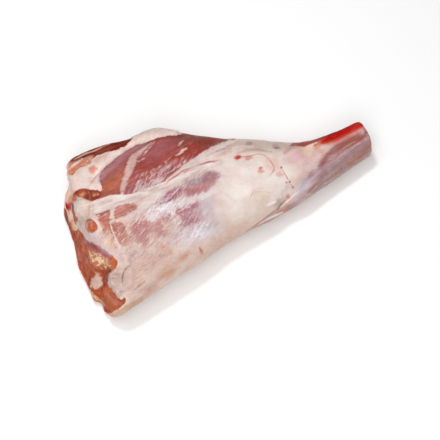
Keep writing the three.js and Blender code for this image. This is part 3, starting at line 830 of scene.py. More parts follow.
# Each row: shape, mm of noise at its edge, blur, share, tone.
for shape, mm, blur, share, code in (
        (spot((-46, 56), 12, 2.2, 38), 2, 12, 0.6, "A0402C"),
        (spot((-139, 27), 16, 1.3, 55), 0, 18, 0.8, "B0644A"),
        (spot((-92, 52), 8, 2.2, 12), 2, 9, 0.6, "93382C"),
        (spot((-83, 68), 9, 2.4, 27), 2, 12, 0.6, "A96468"),
        (strand(PURPLE_SHEEN, (6, 10, 9, 5)), 2, 12, 0.8, "A16267")):
    paint(shape + mm * thigh_noise, blur, share, thigh_face, lean=code)
paint(strand(PURPLE_SHEEN, (3, 4, 4, 2)) + 2 * thin_streaks, 6, 0.6, thigh_face, lean="B88488")
frayed = strand(FRAYED_EDGE, FRAYED_HALF_WIDTHS) + 3 * thigh_noise
paint(frayed + 3, 12, 1.0, thigh_face, aslant=1.0, wet=1.0, threads=0.3)
paint(frayed, 10, 0.6, thigh_face, lean="AC6264")
aslant_noise = rough_noise(along_chart(57), (12, 2.2, 9), 110)
mottle(on_thigh * soft(frayed + 2, 12), "lean", [(aslant_noise, 0.0, 0.5, 0.6, "CA9A9E")])
paint(spot((-28, 72), 10, 2.4, 25) + 2 * thigh_noise, 12, 0.7, thigh_face, lean="973C30")
# Painted shade along the thigh's far edge, where the surface turns away from the light.
paint(strand(SHADED_FAR_EDGE, (3, 8, 8, 5)) + thigh_noise, 9, 0.55, thigh_face, lean="7C3426", wet=0.0)
silverskin = strand(SILVERSKIN, SILVERSKIN_HALF_WIDTHS) + noise(thigh_streaks, (8, 3, 9), 105)
patch_of_white(silverskin, "CCABA7", ragged=1.6, gauze=1.8)
for line, half in NICKS:
    patch_of_white(strand(line, half) + rag(0.4, 2.5, 106), "DCBFB9", ragged=1.0, gauze=0.8)
lift(0.5, soft(silverskin, 2.5))
lift(0.35, thigh_noise * on_thigh)
tell("thigh muscle", thigh_face)

# %% [markdown]
# ## The recess and the flap at the hip's far corner
#
# Behind the sheet of fat the meat drops into a dark red hollow that runs along the far edge. Its dark red is
# partly the meat's own tone and partly painted shade, as its wall turns away from the light. At its hip end a
# cut flap of orange-brown meat with a streak of fat curls over.

# %% The recess and the flap
RECESS = [(-199, 52), (-186, 63), (-165, 71), (-149, 78), (-133, 82), (-120, 85), (-115, 84), (-116, 79),
          (-122, 74.5), (-130, 69.5), (-137, 67.5), (-145, 65.5), (-157, 60.5), (-165, 58), (-173, 58),
          (-186, 55)]
RECESS_FAT = [(-188, 56), (-176, 62), (-163, 67), (-151, 73), (-143, 76)]
FLAP = [(-199, 42), (-198, 49), (-193, 53), (-186, 55), (-173, 59.5), (-164, 62), (-162, 58), (-165.5, 52),
        (-172, 47), (-179, 44), (-184, 40.5), (-190, 36), (-196, 36)]
FLAP_FAT = [(-194, 44.5), (-188, 49.5), (-182, 54), (-177, 57.5)]
FLAP_BEADS = ((-177, 50), (-171, 54), (-168, 57), (-173, 50.5))
far_end_noise = (1 - front) * rough_noise(P, 16, 114)
recess = inside(RECESS) + 7 * far_end_noise
recess_noise = rough_noise(along_chart(25), (22, 3, 12), 111)
# The hollow's dark red: partly the meat's own tone, partly painted shade.
paint(recess, 2.5, lean="76230F", wet=0.0, fibre=0.5, grainy=0.8, **BARE)
mottle(soft(recess, 2.5), "lean", [(recess_noise, 0.0, 0.5, 0.7, "93402A")])
patch_of_white(strand(RECESS_FAT, (0.4, 1.0, 0.9, 0.6, 0.2)), "CFA593", gauze=0.7)
flap = inside(FLAP) + rag(0.8, 3, 113)
paint(flap, 2, lean="D07A54", wet=0.9, **BARE)
mottle(soft(flap - 1, 3), "lean", [(noise(P, 4, 115), 0, 0.5, 0.6, "DB9676")])
patch_of_white(strand(FLAP_FAT, (0.8, 1.7, 1.3, 0.3)) + rag(0.8, 2.5, 117), "E4CFC4", gauze=0.7)
paint(0.9 - np.abs(flap - 0.4), 1.2, 0.7, lean="8E3E22")
for centre in FLAP_BEADS:
    patch_of_white(spot(centre, 0.8) + rag(0.5, 2, 118), "E6BEA6")
tell("recess", soft(recess) * face)

# %% [markdown]
# ## The sheet of fat
#
# A sheet of creamy fat, 2 to 3 mm thick, is left on the hip corner and runs up along the far edge. It
# ends in a rounded step against the muscle. The step is real relief, so it catches the light from any
# side. Its lower edge is frayed.

# %% The sheet of fat
SHEET = [(-194, 37), (-192, 29), (-191, 21), (-186, 15), (-176, 19), (-166, 18), (-156, 17), (-153, 21),
         (-154, 28), (-156, 35), (-149, 46), (-141, 53), (-130, 62), (-115, 72), (-103, 76), (-90, 81),
         (-77, 85), (-61, 87), (-54, 88), (-62, 94), (-75, 98), (-86, 99), (-97, 97), (-105, 91),
         (-113, 85), (-117, 79), (-122, 74.5), (-130, 69.5), (-137, 67.5), (-145, 65.5), (-157, 61),
         (-163, 57.5), (-167, 52), (-172, 48.6), (-179, 45.4), (-184.5, 41.5), (-190, 37)]
THIN_PLACE = [(-170, 22), (-162, 30), (-156, 38)]
SHADED_TOP = [(-116, 82), (-100, 92), (-85, 97), (-65, 94)]
CLEFT = [(-167, 25), (-160, 34), (-153, 43)]
SHEET_STEP_MM = 1.6
sheet_streaks = along_chart(42)
sheet = (inside(SHEET) + rag(0.9, 5, 121) + 0.7 * noise(sheet_streaks, (6, 1.8, 3), 122)
         - 5 * far_end_noise)
patch_of_white(sheet, "DBCBC6")
thin_sheet = strand(THIN_PLACE, (2, 4, 1)) + 3 * rough_noise(sheet_streaks, (14, 2, 6), 124)
paint(thin_sheet, 4, 0.35, white="D0B0AC", lean="A56A66", cover=0.8, ragged=2.2, gauze=1.6)
on_sheet = soft(sheet, 2.0)
mottle(on_sheet, "white", [
    (rough_noise(P, 14, 123), 0.1, 0.6, 0.6, "D6BDAC"),
    (rough_noise(sheet_streaks, (16, 4, 10), 125), 0.2, 0.7, 0.5, "C9A093"),
    (-rough_noise(sheet_streaks, (18, 6, 10), 127), 0.1, 0.6, 0.5, "E8DBD5"),
])
paint(strand(SHADED_TOP, (2, 4, 4, 2)), 5, 0.6, white="C2AB9B")
paint(spot((-164, 43), 4.4, 1.1, 30) + 2.4 * rough_noise(P, 3, 129), 3.5, 0.85, white="CF7E64")
cleft = strand(CLEFT, (0.4, 0.9, 0.3)) + rag(0.4, 3, 130)
paint(cleft, 1.6, 0.6, white="A87C78")
lift(-0.6, soft(cleft, 2.4))
lift(SHEET_STEP_MM, smoothstep(-0.6, 2.2, sheet))
lay(on_sheet, wet=0.5)
tell("sheet of fat", on_sheet * face)

# %% [markdown]
# ## The hollow, the knob and the band of gristle
#
# The knob is the end of a thick white tendon at the hip. From there a ropey band of gristle runs across
# the leg and splays into strands over the knee. Between the sheet and the knob the meat is torn, with
# glossy red-orange bumps.

# %% The hollow
HOLLOW = [(-187, 16), (-176, 20), (-166, 18), (-155, 17), (-154, 12), (-157, 6), (-164, 4), (-171, 6),
          (-177, 8), (-183, 10), (-187, 8)]
# Each row: centre, radius.
HOLLOW_BUMPS = (((-176.5, 13.5), 5.6), ((-184, 11), 2.6), ((-162, 12.5), 3.4), ((-158, 13), 2.2))
FAT_BEADS = (((-154, 22.5), 1.5), ((-156, 18.5), 1.2), ((-160, 18.5), 1.0), ((-151.5, 18.5), 0.9))
GLINT_OFFSET = (0.5, -1.5)
SHADED_CREVICE = [(-169.5, 19.5), (-168.5, 14), (-167, 9)]
CREVICE_GLINT = [(-169, 17), (-167.5, 11), (-167, 6)]
SHADOW_UNDER_THE_SHEET = [(-164, 18.5), (-159, 17), (-155, 15)]
hollow = inside(HOLLOW)
paint(hollow, 2.5, lean="8C3022", wet=0.8, **BARE)
lift(1.0, soft(hollow, 5))
for centre, radius in HOLLOW_BUMPS:
    bump_mask = spot(centre, radius) + rag(0.7, 3, 131)
    glint = spot(np.array(centre) + GLINT_OFFSET, 0.4 * radius, 1.4, 40) + rag(1, 2, 130)
    paint(bump_mask, 2.5, 0.9, lean="AC5034", wet=1.3)
    paint(glint, 1.6, 0.7, lean="DDA27A")
    lift(1.2, soft(bump_mask, 5))
# Painted shade in the crevice between the bumps.
paint(strand(SHADED_CREVICE, (1.4, 2.4, 1.4)) + rag(1, 2.5, 132), 2.5, 0.5, lean="8A4436")
paint(strand(CREVICE_GLINT, (0.3, 0.6, 0.3)), 1.5, 0.4, lean="D8A890")
# A painted shadow under the sheet's lower edge.
paint(strand(SHADOW_UNDER_THE_SHEET, (1, 1.8, 1)), 2.5, 0.7, lean="8E3A2C")
for centre, radius in FAT_BEADS:
    patch_of_white(spot(centre, radius) + rag(0.4, 2, 134), "ECD0CA")
tell("hollow", soft(hollow) * face)

# %% The knob and the band
KNOB = [(-187, -5), (-186, 2), (-182.5, 8), (-178, 8.5), (-172, 5), (-166, 4), (-163, -4), (-165, -13),
        (-170, -18), (-179, -20), (-185, -16)]
BAND = [(-172, -5), (-163, -5), (-152, -1), (-141, 3), (-130, 5), (-119, 6), (-109, 10), (-100, 14),
        (-90, 18), (-79, 22), (-68, 27), (-56, 33), (-45, 38), (-33, 44), (-20, 48), (-5, 53)]
BAND_HALF_WIDTHS = (9, 8.5, 7.5, 5.5, 4.2, 3.4, 3.0, 2.6, 2.4, 2.6)
UPPER_STRAND = [(-72, 28), (-58, 38), (-48, 46), (-37, 53), (-26, 60), (-15, 68), (-5, 73), (8, 80)]
UNDER_STRAND = [(-124, -15), (-105, -4), (-87, 8), (-74, 20), (-61, 30)]
RED_GAP = [(-114, 2), (-104, 7.5), (-93, 13.5), (-83, 19.5), (-75, 25)]
NECK = [(-167, 4), (-169, -4), (-168, -13)]
band_noise = rough_noise(along_chart(17), (20, 2.4, 8), 133)
upper_noise = rough_noise(along_chart(38), (24, 3, 9), 135)
band = strand(BAND, BAND_HALF_WIDTHS) + 0.9 * band_noise
upper = strand(UPPER_STRAND, (2.5, 3.5, 4.5, 4.5, 4, 3, 2)) + 1.6 * upper_noise
under = strand(UNDER_STRAND, (2.5, 3, 3, 2, 1)) + 1.4 * wrinkle_noise
knob = inside(KNOB) + rag(0.7, 4, 137)
patch_of_white(under, "D8CAC8", ragged=2.0, gauze=2.0)
paint(strand(RED_GAP, (0.5, 1.2, 1.2, 1.0, 0.4)) + rag(0.6, 3, 136), 2.2, 0.8, lean="B0605C", cover=-2.5)
patch_of_white(upper, "D5C3C0", ragged=1.6, gauze=1.4)
patch_of_white(band, "D6CAC6", ragged=1.2, gauze=0.9)
patch_of_white(knob, "CCB8AB")
# Painted light: the knob's left side faces away from the lamps, and is lightened here.
paint(spot((-180, -5), 10, 1.2, 90), 8, 0.6, white="E4D5CB")
on_gristle = soft(np.maximum(band, knob), 2)
mottle(on_gristle, "white", [(band_noise, 0.0, 0.5, 0.7, "DFD5CF")])
mottle(soft(np.minimum(band, -knob), 2), "white", [(-band_noise, 0.1, 0.6, 0.7, "B59A92")])
lay(on_gristle, wet=0.5, grainy=0.3)
lift(0.6, on_gristle * (1 + 1.2 * band_noise))
neck = strand(NECK, (0.6, 1.2, 0.8)) + rag(0.5, 3, 138)
# Painted shade in the groove at the knob's neck.
paint(neck, 3, 0.4, white="B9A08E")
lift(-0.6, soft(neck, 4))
lift(0.6, smoothstep(-1, 2.5, knob))
tell("band and knob", on_gristle * face)

# %% [markdown]
# Over the knee the band splays into single strands, some white and some dark where the meat shows
# between them.

# %% Strands over the knee
# Each row: line, half widths, tone, cover. A cover below 0 is meat between the strands.
SPLAYED = [
    ([(-30, 61), (-18, 66), (-7, 71), (4, 76), (13, 79)], (1, 1.8, 1.2), "DDCDC8", 4.0),
    ([(-30, 56), (-14, 62), (1, 68), (17, 72), (36, 73)], (1.5, 2, 1), "E3D6D2", 4.0),
    ([(-30, 50), (-13, 54), (7, 57), (16, 58)], (1.2, 1.6, 1), "E0D3D2", 4.0),
    ([(-31, 56), (-15, 64), (-2, 69.5), (10, 70)], (0.4, 1.0, 1.7, 0.6), "A1837F", -3.0),
    ([(-30, 49.5), (-20, 53), (-12, 54.5), (-4, 57)], (0.5, 1.5, 1.3, 0.4), "B97F7E", -3.0),
    ([(-50, 40), (-38, 47), (-21, 53), (-11, 54), (13, 57)], (0.6, 1.2, 1.0, 0.8, 0.4), "C28A86", -3.0),
]
splay_noise = noise(along_chart(22), (9, 2, 9), 139)
for line, half, code, cover in SPLAYED:
    mark = strand(line, half) + 0.6 * splay_noise
    coat = "white" if cover > 0 else "lean"
    paint(mark, 3.2, 0.6, cover=cover, **{coat: code})
    lift(math.copysign(0.25, cover), soft(mark, 2))
print("strands over the knee:", len(SPLAYED))

# %% [markdown]
# ## The hip's edge
#
# Left of the knob lie the sawn hip bone with its red marrow, a strip of pinkish tissue and a dark seam.
# Below the knob a round muscle end looks out of a pale ring.

# %% The hip's edge
LEFT_TISSUE = [(-202, 12), (-197, 16), (-190, 18), (-186, 16), (-187, 8), (-190, 4), (-195, 2), (-201, 3)]
DARK_SEAM = [(-186, 14), (-188, 6), (-188, -3), (-186, -11), (-185, -19), (-182, -27), (-181, -34)]
LEFT_EDGE = [(-200, -9), (-198, -19), (-195, -28), (-190, -37), (-186, -43)]
LEFT_SHADE = [(-199, -3), (-197.5, -13), (-195.5, -24), (-191, -34), (-186, -42)]
BROWN_STREAK = [(-190, -9), (-186.5, -16), (-183.5, -23)]
BONE_RIM = [(-192.5, -11.5), (-192.2, -20)]
MARROW_SHADE = [(-191, 3), (-188.6, -0.5), (-188.2, -5), (-190, -8.5)]
left_edge = strand(LEFT_EDGE, (4, 5, 6, 6, 5)) + rag(1, 3, 141)
paint(left_edge, 3, 0.95, lean="C25830", cover=-5.0, ragged=1.0, wet=0.3)
paint(strand(LEFT_SHADE, (1, 1.4, 1.4, 1.4, 1)), 1.8, 0.8, lean="6E1E12")
patch_of_white(inside(LEFT_TISSUE) + rag(0.8, 3, 143), "E2BDAC", gauze=0.8)
paint(spot((-189.5, 6), 4.5, 1.4, 60) + rag(2, 3, 140), 4, 0.6, white="CE8468")
paint(spot((-186.5, 8), 3.0, 1.6, 70) + rag(0.8, 3, 144), 2.5, 0.85, white="D0714F", lean="B8573A")
paint(strand(BROWN_STREAK, (1.8, 3.2, 2.6)) + rag(0.6, 2.5, 145), 2, 0.9, lean="A34F2C", cover=-5.0)
patch_of_white(strand(BONE_RIM, (2.0, 2.2)) + rag(0.4, 3, 146), "DDC0C0", gauze=0.6)
paint(spot((-192.4, -8.3), 1.9, 1.2, 80), 2, 0.8, lean="E08A78", white="E8A294")
dark_seam = strand(DARK_SEAM, (0.8, 0.9, 0.9, 1.0, 1.2, 1.0, 0.8)) + rag(0.5, 2.5, 147)
paint(dark_seam, 1.8, 0.7, lean="A85B40", cover=-5.0)
marrow_spot = spot((-193.5, -2.0), 3.6, 1.15, 80) + rag(0.6, 2, 139)
paint(marrow_spot, 1.6, 0.95, lean="B80C06", white="B80C06", wet=1.0)
paint(strand(MARROW_SHADE, (0.7, 1.1, 1.1, 0.7)), 1.4, 0.85, lean="742418", white="742418")
lift(1.2, soft(dark_seam, 5))
tell("left edge", soft(left_edge) * face)

# %% The muscle end in its pale ring
PALE_RING = [(-178, -27), (-176, -35), (-172, -41), (-166, -45), (-157, -46), (-149, -48), (-142, -54)]
RING_TISSUE = [(-183, -20), (-171, -20), (-170, -33), (-175, -38), (-182, -30)]
YELLOW_FAT = [(-190.5, -22), (-188, -29), (-185, -36)]
LILAC_HIGHLIGHT = [(-165.5, -20.5), (-164.5, -29)]
TOP_SHADE = [(-173, -22), (-170.5, -19), (-166, -18.5), (-162, -20.5)]
patch_of_white(inside(RING_TISSUE) + rag(0.8, 3, 148), "DDC4B6", ragged=1.5, gauze=1.2)
paint(spot((-179, -25), 1.2) + rag(0.4, 2, 149), 1.5, 0.8, white="8A6048")
patch_of_white(strand(YELLOW_FAT, (0.8, 1.4, 1.0)) + rag(0.5, 2, 150), "DDB78E", gauze=0.6)
patch_of_white(strand(PALE_RING, (1.5, 3, 4, 4.5, 5, 4, 3)) + rag(1, 4, 151), "D3BBB7", ragged=1.4,
               gauze=1.5)
muscle_end = spot((-166.0, -27.2), 7.4, 1.12, -60) + rag(0.9, 5, 153)
paint(muscle_end, 2.5, lean="AC522E", cover=-6.0, grainy=1.2, wet=0.8)
mottle(soft(muscle_end, 2.5), "lean", [(rough_noise(P, 3.5, 154), 0.0, 0.5, 0.7, "C98060")])
# A painted lilac highlight across the muscle end.
paint(strand(LILAC_HIGHLIGHT, (1.4, 1.0)), 2.5, 0.5, lean="C48F8C")
paint(strand(TOP_SHADE, (0.6, 1.1, 1.1, 0.5)), 1.6, 0.7, lean="8A4632", white="9A6450")
lift(1.1, soft(muscle_end, 5))
lift(-0.6, soft(1.2 - np.abs(muscle_end), 1.5))
tell("muscle end", soft(muscle_end) * face)

# %% [markdown]
# ## Torn patches below the band
#
# Where the fascia was torn off, small pools of red meat show between white threads, with yellow fat in
# between. A V-shaped fold of membrane stands up a little from the mound.

# %% Torn patches
# Each row: tone of the meat, outline.
RED_PATCHES = [
    ("B4604E", [(-160, -13), (-152, -11), (-143, -7.5), (-141, -16), (-142, -25), (-142, -34), (-147, -38),
                (-151, -33), (-155, -22)]),
    ("B4685C", [(-137, -6), (-128, -1), (-118, 2), (-108, 1), (-112, -6), (-121, -12), (-130, -16),
                (-136, -17)]),
    ("B2685C", [(-140, -24), (-133, -23), (-128, -32), (-131, -42), (-137, -42), (-141, -33)]),
]
# Each row: line, half widths.
THREADS = [
    ([(-166, -14), (-160, -21), (-153, -31)], (1.3, 1.0, 0.7)),
    ([(-144, -16), (-141, -28), (-137, -39), (-131, -52), (-124, -64), (-123, -73)],
     (0.3, 0.9, 1.2, 1.5, 1.6, 1.0)),
]
YELLOW_PATCH = [(-155, -27), (-146, -28), (-140, -39), (-135, -52), (-142, -51), (-149, -42)]
UPPER_SHADE = [(-160, -12.5), (-152, -11), (-143, -6.5)]
for i, (code, outline) in enumerate(RED_PATCHES):
    patch = inside(outline) + 2.4 * rough_noise(wrinkles, (9, 3, 6), 160 + i)
    paint(patch, 5, 0.9, lean=code, white="D8B4A8", cover=-2.2, ragged=3.0, gauze=1.6, threads=0.2,
          fibre=0.6, grainy=1.6, wet=1.1)
    mottle(soft(patch, 4), "lean", [(rough_noise(P, 4, 166 + i), 0.0, 0.5, 0.4, "C88876")])
yellow = inside(YELLOW_PATCH) + 3 * rough_noise(P, 3, 171)
yellow_threads = 2.6 * noise(along_chart(-60), (9, 1.7, 4), 173) - 1.1
patch_of_white(np.minimum(yellow + 1, yellow_threads - 0.5), "E6CDB0", ragged=1.4, gauze=0.8)
paint(yellow + 1, 5, 0.6, lean="B97460", white="D2B2A2", cover=0.0)
paint(yellow, 6, 0.6, wet=1.2)
for line, half in THREADS:
    thread = strand(line, half) + rag(0.4, 3, 172)
    paint(thread + 1.2, 1.6, 0.5, lean="8C4A3C", white="B08A7C")
    patch_of_white(thread, "DAC3BC", ragged=0.9, gauze=0.7)
    lift(0.6, soft(thread, 1.8))
paint(strand(UPPER_SHADE, (0.6, 1.2, 0.5)) + rag(0.4, 2.5, 174), 1.6, 0.75, lean="84413A", cover=-3.0)
print("torn patches:", len(RED_PATCHES), "threads over them:", len(THREADS))

# %% The V-shaped fold
V_FOLD = [(-82, -9), (-78, -18), (-74.5, -26.5), (-66, -23.5), (-59, -19), (-53.5, -15)]
INSIDE_THE_V = [(-79, -12), (-70, -10), (-60, -15), (-66, -21), (-73, -24)]
paint(inside(INSIDE_THE_V) + rag(1, 3, 176), 3.5, 0.7, lean="A8767A", cover=-1.6, threads=0.3)
paint(spot((-72, -28), 4, 1.6, 20) + rag(1.5, 3, 177), 4, 0.6, white="D0AC9A", cover=3.0)
fold = strand(V_FOLD, (0.4, 0.9, 1.5, 1.3, 1.0, 0.4)) + rag(0.4, 2.5, 175)
patch_of_white(fold - 0.15, "CFB5AB", ragged=0.8, gauze=1.0)
lift(0.9, soft(fold, 1.6))
tell("fold", soft(fold) * face)

# %% [markdown]
# ## The cut face of the hip
#
# The hip end was cut with a knife. The face is orange-brown where the air has dried it, lumpy, with
# yellow flecks, a patch of fat, and a lobe at the lower corner. A pale flap with a jagged edge lies over
# its border.

# %% The cut face, as seen from above
CUT_FACE = [(-205, -21), (-189, -34), (-182, -31), (-178, -35), (-174, -42), (-168, -48), (-160, -51),
            (-150, -56), (-143, -62), (-136, -68), (-133, -72), (-135, -79), (-141, -84), (-145, -91),
            (-144, -100), (-140, -106), (-135, -112), (-129, -119), (-125, -116), (-122, -118),
            (-125, -124), (-132, -130), (-141, -135), (-149, -139), (-168, -146), (-190, -120),
            (-200, -70)]
RED_STREAK = [(-160, -80), (-150, -84), (-147, -92), (-150, -101), (-157, -109), (-164, -107)]
DARK_CRACK = [(-152, -80), (-149, -89), (-150, -100), (-153, -110), (-154, -118)]
cut = inside(CUT_FACE) + rag(1, 4, 181)
on_cut = soft(cut, 2)
cut_noise = rough_noise(P, 8, 183)
lay(on_cut, lean="AE431C", white="D8A884", threads=0.0, fibre=0.15, grainy=0.9, wet=0.25, **BARE)
mottle(on_cut, "lean", [
    (cut_noise, 0.05, 0.6, 0.8, "CC7648"),
    (rough_noise(along_chart(-70), (16, 3, 12), 184), 0.1, 0.6, 0.6, "C67458"),
    (-cut_noise, 0.15, 0.7, 0.7, "8A3018"),
    (rough_noise(P, 3.6, 182), 0.1, 0.5, 0.5, "CE7C4E"),
    (-rough_noise(P, 4.4, 188), 0.2, 0.6, 0.5, "93402A"),
])
paint(strand(RED_STREAK, (1.5, 2.5, 1.5, 1.5, 1.5, 1)) + rag(1.4, 3, 190), 3, 0.6, lean="8C4444")
paint(strand(DARK_CRACK, (0.4, 0.9, 0.9, 1.1, 0.6)), 2, 0.35, lean="7A3520")
lift(1.3, cut_noise * on_cut)
tell("cut face", on_cut * face)

# %% Flecks and the purple rim
PURPLE_RIM = [(-175, -45), (-166, -50.5), (-157, -56), (-148.5, -61.5), (-142, -67)]
LILAC_STREAK = [(-155, -54.5), (-148, -58.5), (-142, -64)]
flecks = spot((-155.5, -68), 9, 1.8, -38)
fleck_noise = (3.4 * rough_noise(along_chart(-50), (3.6, 1.7, 3), 189)
               + 1.6 * soft(spot((-153.5, -67.5), 4.5, 1.5, -38), 8) - 0.9)
single_flecks = np.minimum(flecks, fleck_noise)
# The flecks are fat; their pale tone also paints in their wet glints, so it is partly painted highlight.
patch_of_white(single_flecks, "F2D0A8", ragged=2.0, gauze=1.0)
paint(flecks, 5, 0.75, lean="CE7E54", wet=1.5)
lift(0.7, soft(single_flecks, 2))
purple_rim = strand(PURPLE_RIM, (1.5, 4, 4.5, 4.5, 2)) + 2.5 * rough_noise(P, 4, 185)
paint(purple_rim, 5, 0.8, lean="94505A", white="BFA6AE", cover=-1.5, gauze=2.0)
lay(soft(purple_rim - 1, 5) * smoothstep(-0.1, 0.4, noise(P, 3, 186)) * 0.7, lean="B4848E", wet=0.9)
paint(strand(LILAC_STREAK, (1.2, 2.2, 1.2)), 3, 0.7, lean="B9A0B0")
tell("flecks", soft(single_flecks) * face)

# %% The lobe and the patches of fat
FAT_PATCH = [(-158, -84), (-152, -92), (-153, -100), (-158, -107), (-165, -104), (-167, -97), (-163, -91)]
LOBE = [(-143, -102), (-136, -111), (-129, -119), (-122, -118), (-125, -124), (-132, -130), (-141, -134),
        (-148, -129), (-152, -118), (-150, -106)]
# Each row: line, tone.
LOBE_FIBRES = (
    ([(-148, -104), (-144, -114), (-135, -124), (-125, -121)], "D89478"),
    ([(-151, -108), (-149, -120), (-139, -129), (-127, -126)], "A64C30"),
    ([(-145, -106), (-139, -115), (-131, -121)], "B05A4C"),
)
YELLOW_STREAK = [(-168, -106), (-163, -114), (-156, -119), (-150, -126)]
LOWER_FELL = [(-147, -138), (-138, -139), (-128, -135), (-115, -127), (-103, -118)]
patch_of_white(inside(FAT_PATCH) + 2.6 * rough_noise(P, 5, 191), "D6B5A6", ragged=2.2, gauze=1.8)
paint(inside(LOBE), 3, 0.8, lean="C4704E")
for line, code in LOBE_FIBRES:
    paint(strand(line, (0.6, 1.5, 1.6, 0.6)) + rag(1.2, 4, 196), 2.5, 0.6, lean=code)
paint(spot((-139, -73), 5, 1.2, 60) + rag(1, 3, 194), 4, 0.7, lean="C8744E")
paint(spot((-127, -121), 5, 1.5, 60) + rag(1, 3, 192), 4, 0.7, lean="85382C")
patch_of_white(strand(YELLOW_STREAK, (0.6, 1.6, 1.6, 0.6)) + rag(0.8, 3, 193), "D9B290", gauze=1.2)
patch_of_white(strand(LOWER_FELL, (1.5, 3, 4, 3, 1)) + rag(0.7, 3, 195), "C6A58E")
tell("lobe", soft(inside(LOBE)) * face)

# %% [markdown]
# A knife cut across a leg shows where one muscle ends and the next begins. Each bundle has a tone of its
# own, and a thin seam of fat and membrane runs between neighbours. The seam is where the two nearest
# bundle centres are equally far away, as in a Voronoi diagram.

# %% Muscle bundles in the cut face
# Each row: centre across the leg and up, tone.
BUNDLES = [((-90, 20), "9C4020"), ((-80, 48), "A84E2C"), ((-60, 22), "933820"), ((-48, 50), "A5492C"),
           ((-30, 16), "9A3F24"), ((-14, 34), "A64A30"), ((4, 12), "94402A")]
end_chart = P[:, 1:] + 4 * np.column_stack([rough_noise(P, 13, 231), rough_noise(P, 13, 237)])
gaps = np.array([np.hypot(*(end_chart - centre).T) for centre, _ in BUNDLES])
own = gaps.argmin(0)
second, first = -np.sort(-gaps, axis=0)[-2:]
on_end = on_cut * smoothstep(0.35, 0.7, -N[:, 0])
for i, (_, code) in enumerate(BUNDLES):
    lay(on_end * (own == i) * 0.25, lean=code)
seam = 0.9 - (second - first) / 2 + rag(0.5, 4, 239)
lay(on_end * soft(seam, 2.2) * 0.3, lean="D29C80")
lift(-0.5, on_end * soft(seam, 3))
tell("hip's end face", on_end * face)

# %% The pale flap and its crease
PALE_FLAP = [(-145, -90), (-141, -84), (-135, -81), (-125, -80), (-115, -80), (-112, -90), (-115, -100),
             (-120, -106), (-127, -109), (-131, -114), (-135, -110), (-140, -105), (-144, -100)]
FLAP_LIGHTS = ([(-139, -96), (-135, -100)], [(-134, -104), (-131, -109)], [(-128, -101), (-124, -97)])
TEAR_MARKS = ([(-138, -87), (-134, -86), (-129, -87)], [(-141, -93), (-138, -91), (-134, -92)])
CREASE = [(-115, -76), (-121, -78), (-125, -84), (-127, -92), (-126, -100)]
pale_flap = inside(PALE_FLAP) + rag(1.5, 2.5, 197) + rag(1, 5, 198)
patch_of_white(pale_flap, "C8B1A9")
for line in FLAP_LIGHTS:
    paint(strand(line, (0.3, 0.6, 0.2)), 1.4, 0.7, white="F0E4DC")
lift(1.8, smoothstep(-0.5, 2.0, pale_flap) * soft(inside(CUT_FACE) + 14, 8))
for line in TEAR_MARKS:
    paint(strand(line, (0.3, 0.7, 0.3)) + rag(0.4, 2, 199), 1.4, 0.6, white="A8705E")
crease = strand(CREASE, (0.3, 0.7, 0.8, 0.7, 0.3))
paint(crease, 1.2, 0.6, white="94695F")
lift(-1.2, soft(crease, 1.8))
tell("pale flap", soft(pale_flap) * face)

# %% [markdown]
# ## Blood vessels
#
# Vessels are about 1 mm wide, as narrow as the mesh's quads, so a mask on the vertices would make them
# beads. Each vertex stores the way back to the nearest vessel instead, in mm, and the vessel's half
# width. That way is smooth from vertex to vertex, so the material can draw a clean thin line from it.

# %% Lines thinner than the mesh
def way_to_lines(lines, reach=5.0):
    """For each vertex: the offset from the nearest line and that line's half width, below 0 far off."""
    way = np.tile([reach, 0.0, -1.0], (COUNT, 1))
    nearest_yet = np.full(COUNT, reach)
    for points, half_widths in lines:
        line = rounded(points, closed=False)
        at = within(line, CHART, reach)
        offset, share = nearest(line, CHART[at])
        gap = np.linalg.norm(offset, axis=1)
        closer = gap < nearest_yet[at]
        half = width_along(share, half_widths)
        half -= (1 + half) * smoothstep(reach * 0.5, reach * 0.9, gap)
        way[at[closer]] = np.column_stack([offset, half])[closer]
        nearest_yet[at[closer]] = gap[closer]
    way[:, 2] -= 2 * (1 - face)
    return way


# Each row: line, half widths.
VESSELS = [
    ([(-72, 26), (-68, 31), (-61, 35), (-52, 42), (-45, 45), (-40, 47)], (0.3, 0.9, 1.1, 0.9, 0.6, 0.1)),
    ([(-28, 50), (-21, 53), (-13, 55)], (0.1, 0.4, 0.1)),
    ([(19, 59), (30, 60.5), (37, 62), (44, 63.5), (50, 61.5), (56, 57), (61, 50), (63, 45), (60, 39.5),
      (56, 35)], (0.8, 0.7, 0.3, 0.6, 0.25, 0.5, 0.5, 0.2)),
    ([(72, 45), (77, 37), (82, 28), (87, 20)], (0.2, 0.45, 0.4, 0.3)),
    ([(82, 28), (77, 26)], (0.3, 0.1)),
    ([(-31, -53), (-29.5, -57), (-27, -62)], (0.1, 0.5, 0.1)),
    ([(37, 18), (34, 11), (31, 5)], (0.0, 0.2, 0.0)),
    ([(42, 16), (50, 16), (57, 15), (64, 10)], (0.0, 0.15, 0.1, 0.0)),
]
vessel = way_to_lines(VESSELS)
vessel[:, 2] += rag(0.35, 5, 213)
print("vessels:", len(VESSELS))

# %% [markdown]
# The frayed edge of the fascia and the gauze carry hundreds of short white threads. Some are fibres, and
# those in the glossy places are painted highlights, the small wet glints on the gauze. They are scattered
# along a few lines, lean the same way and differ a little in length, bend and width. The random numbers have
# a fixed seed, so that every run gives the same threads.

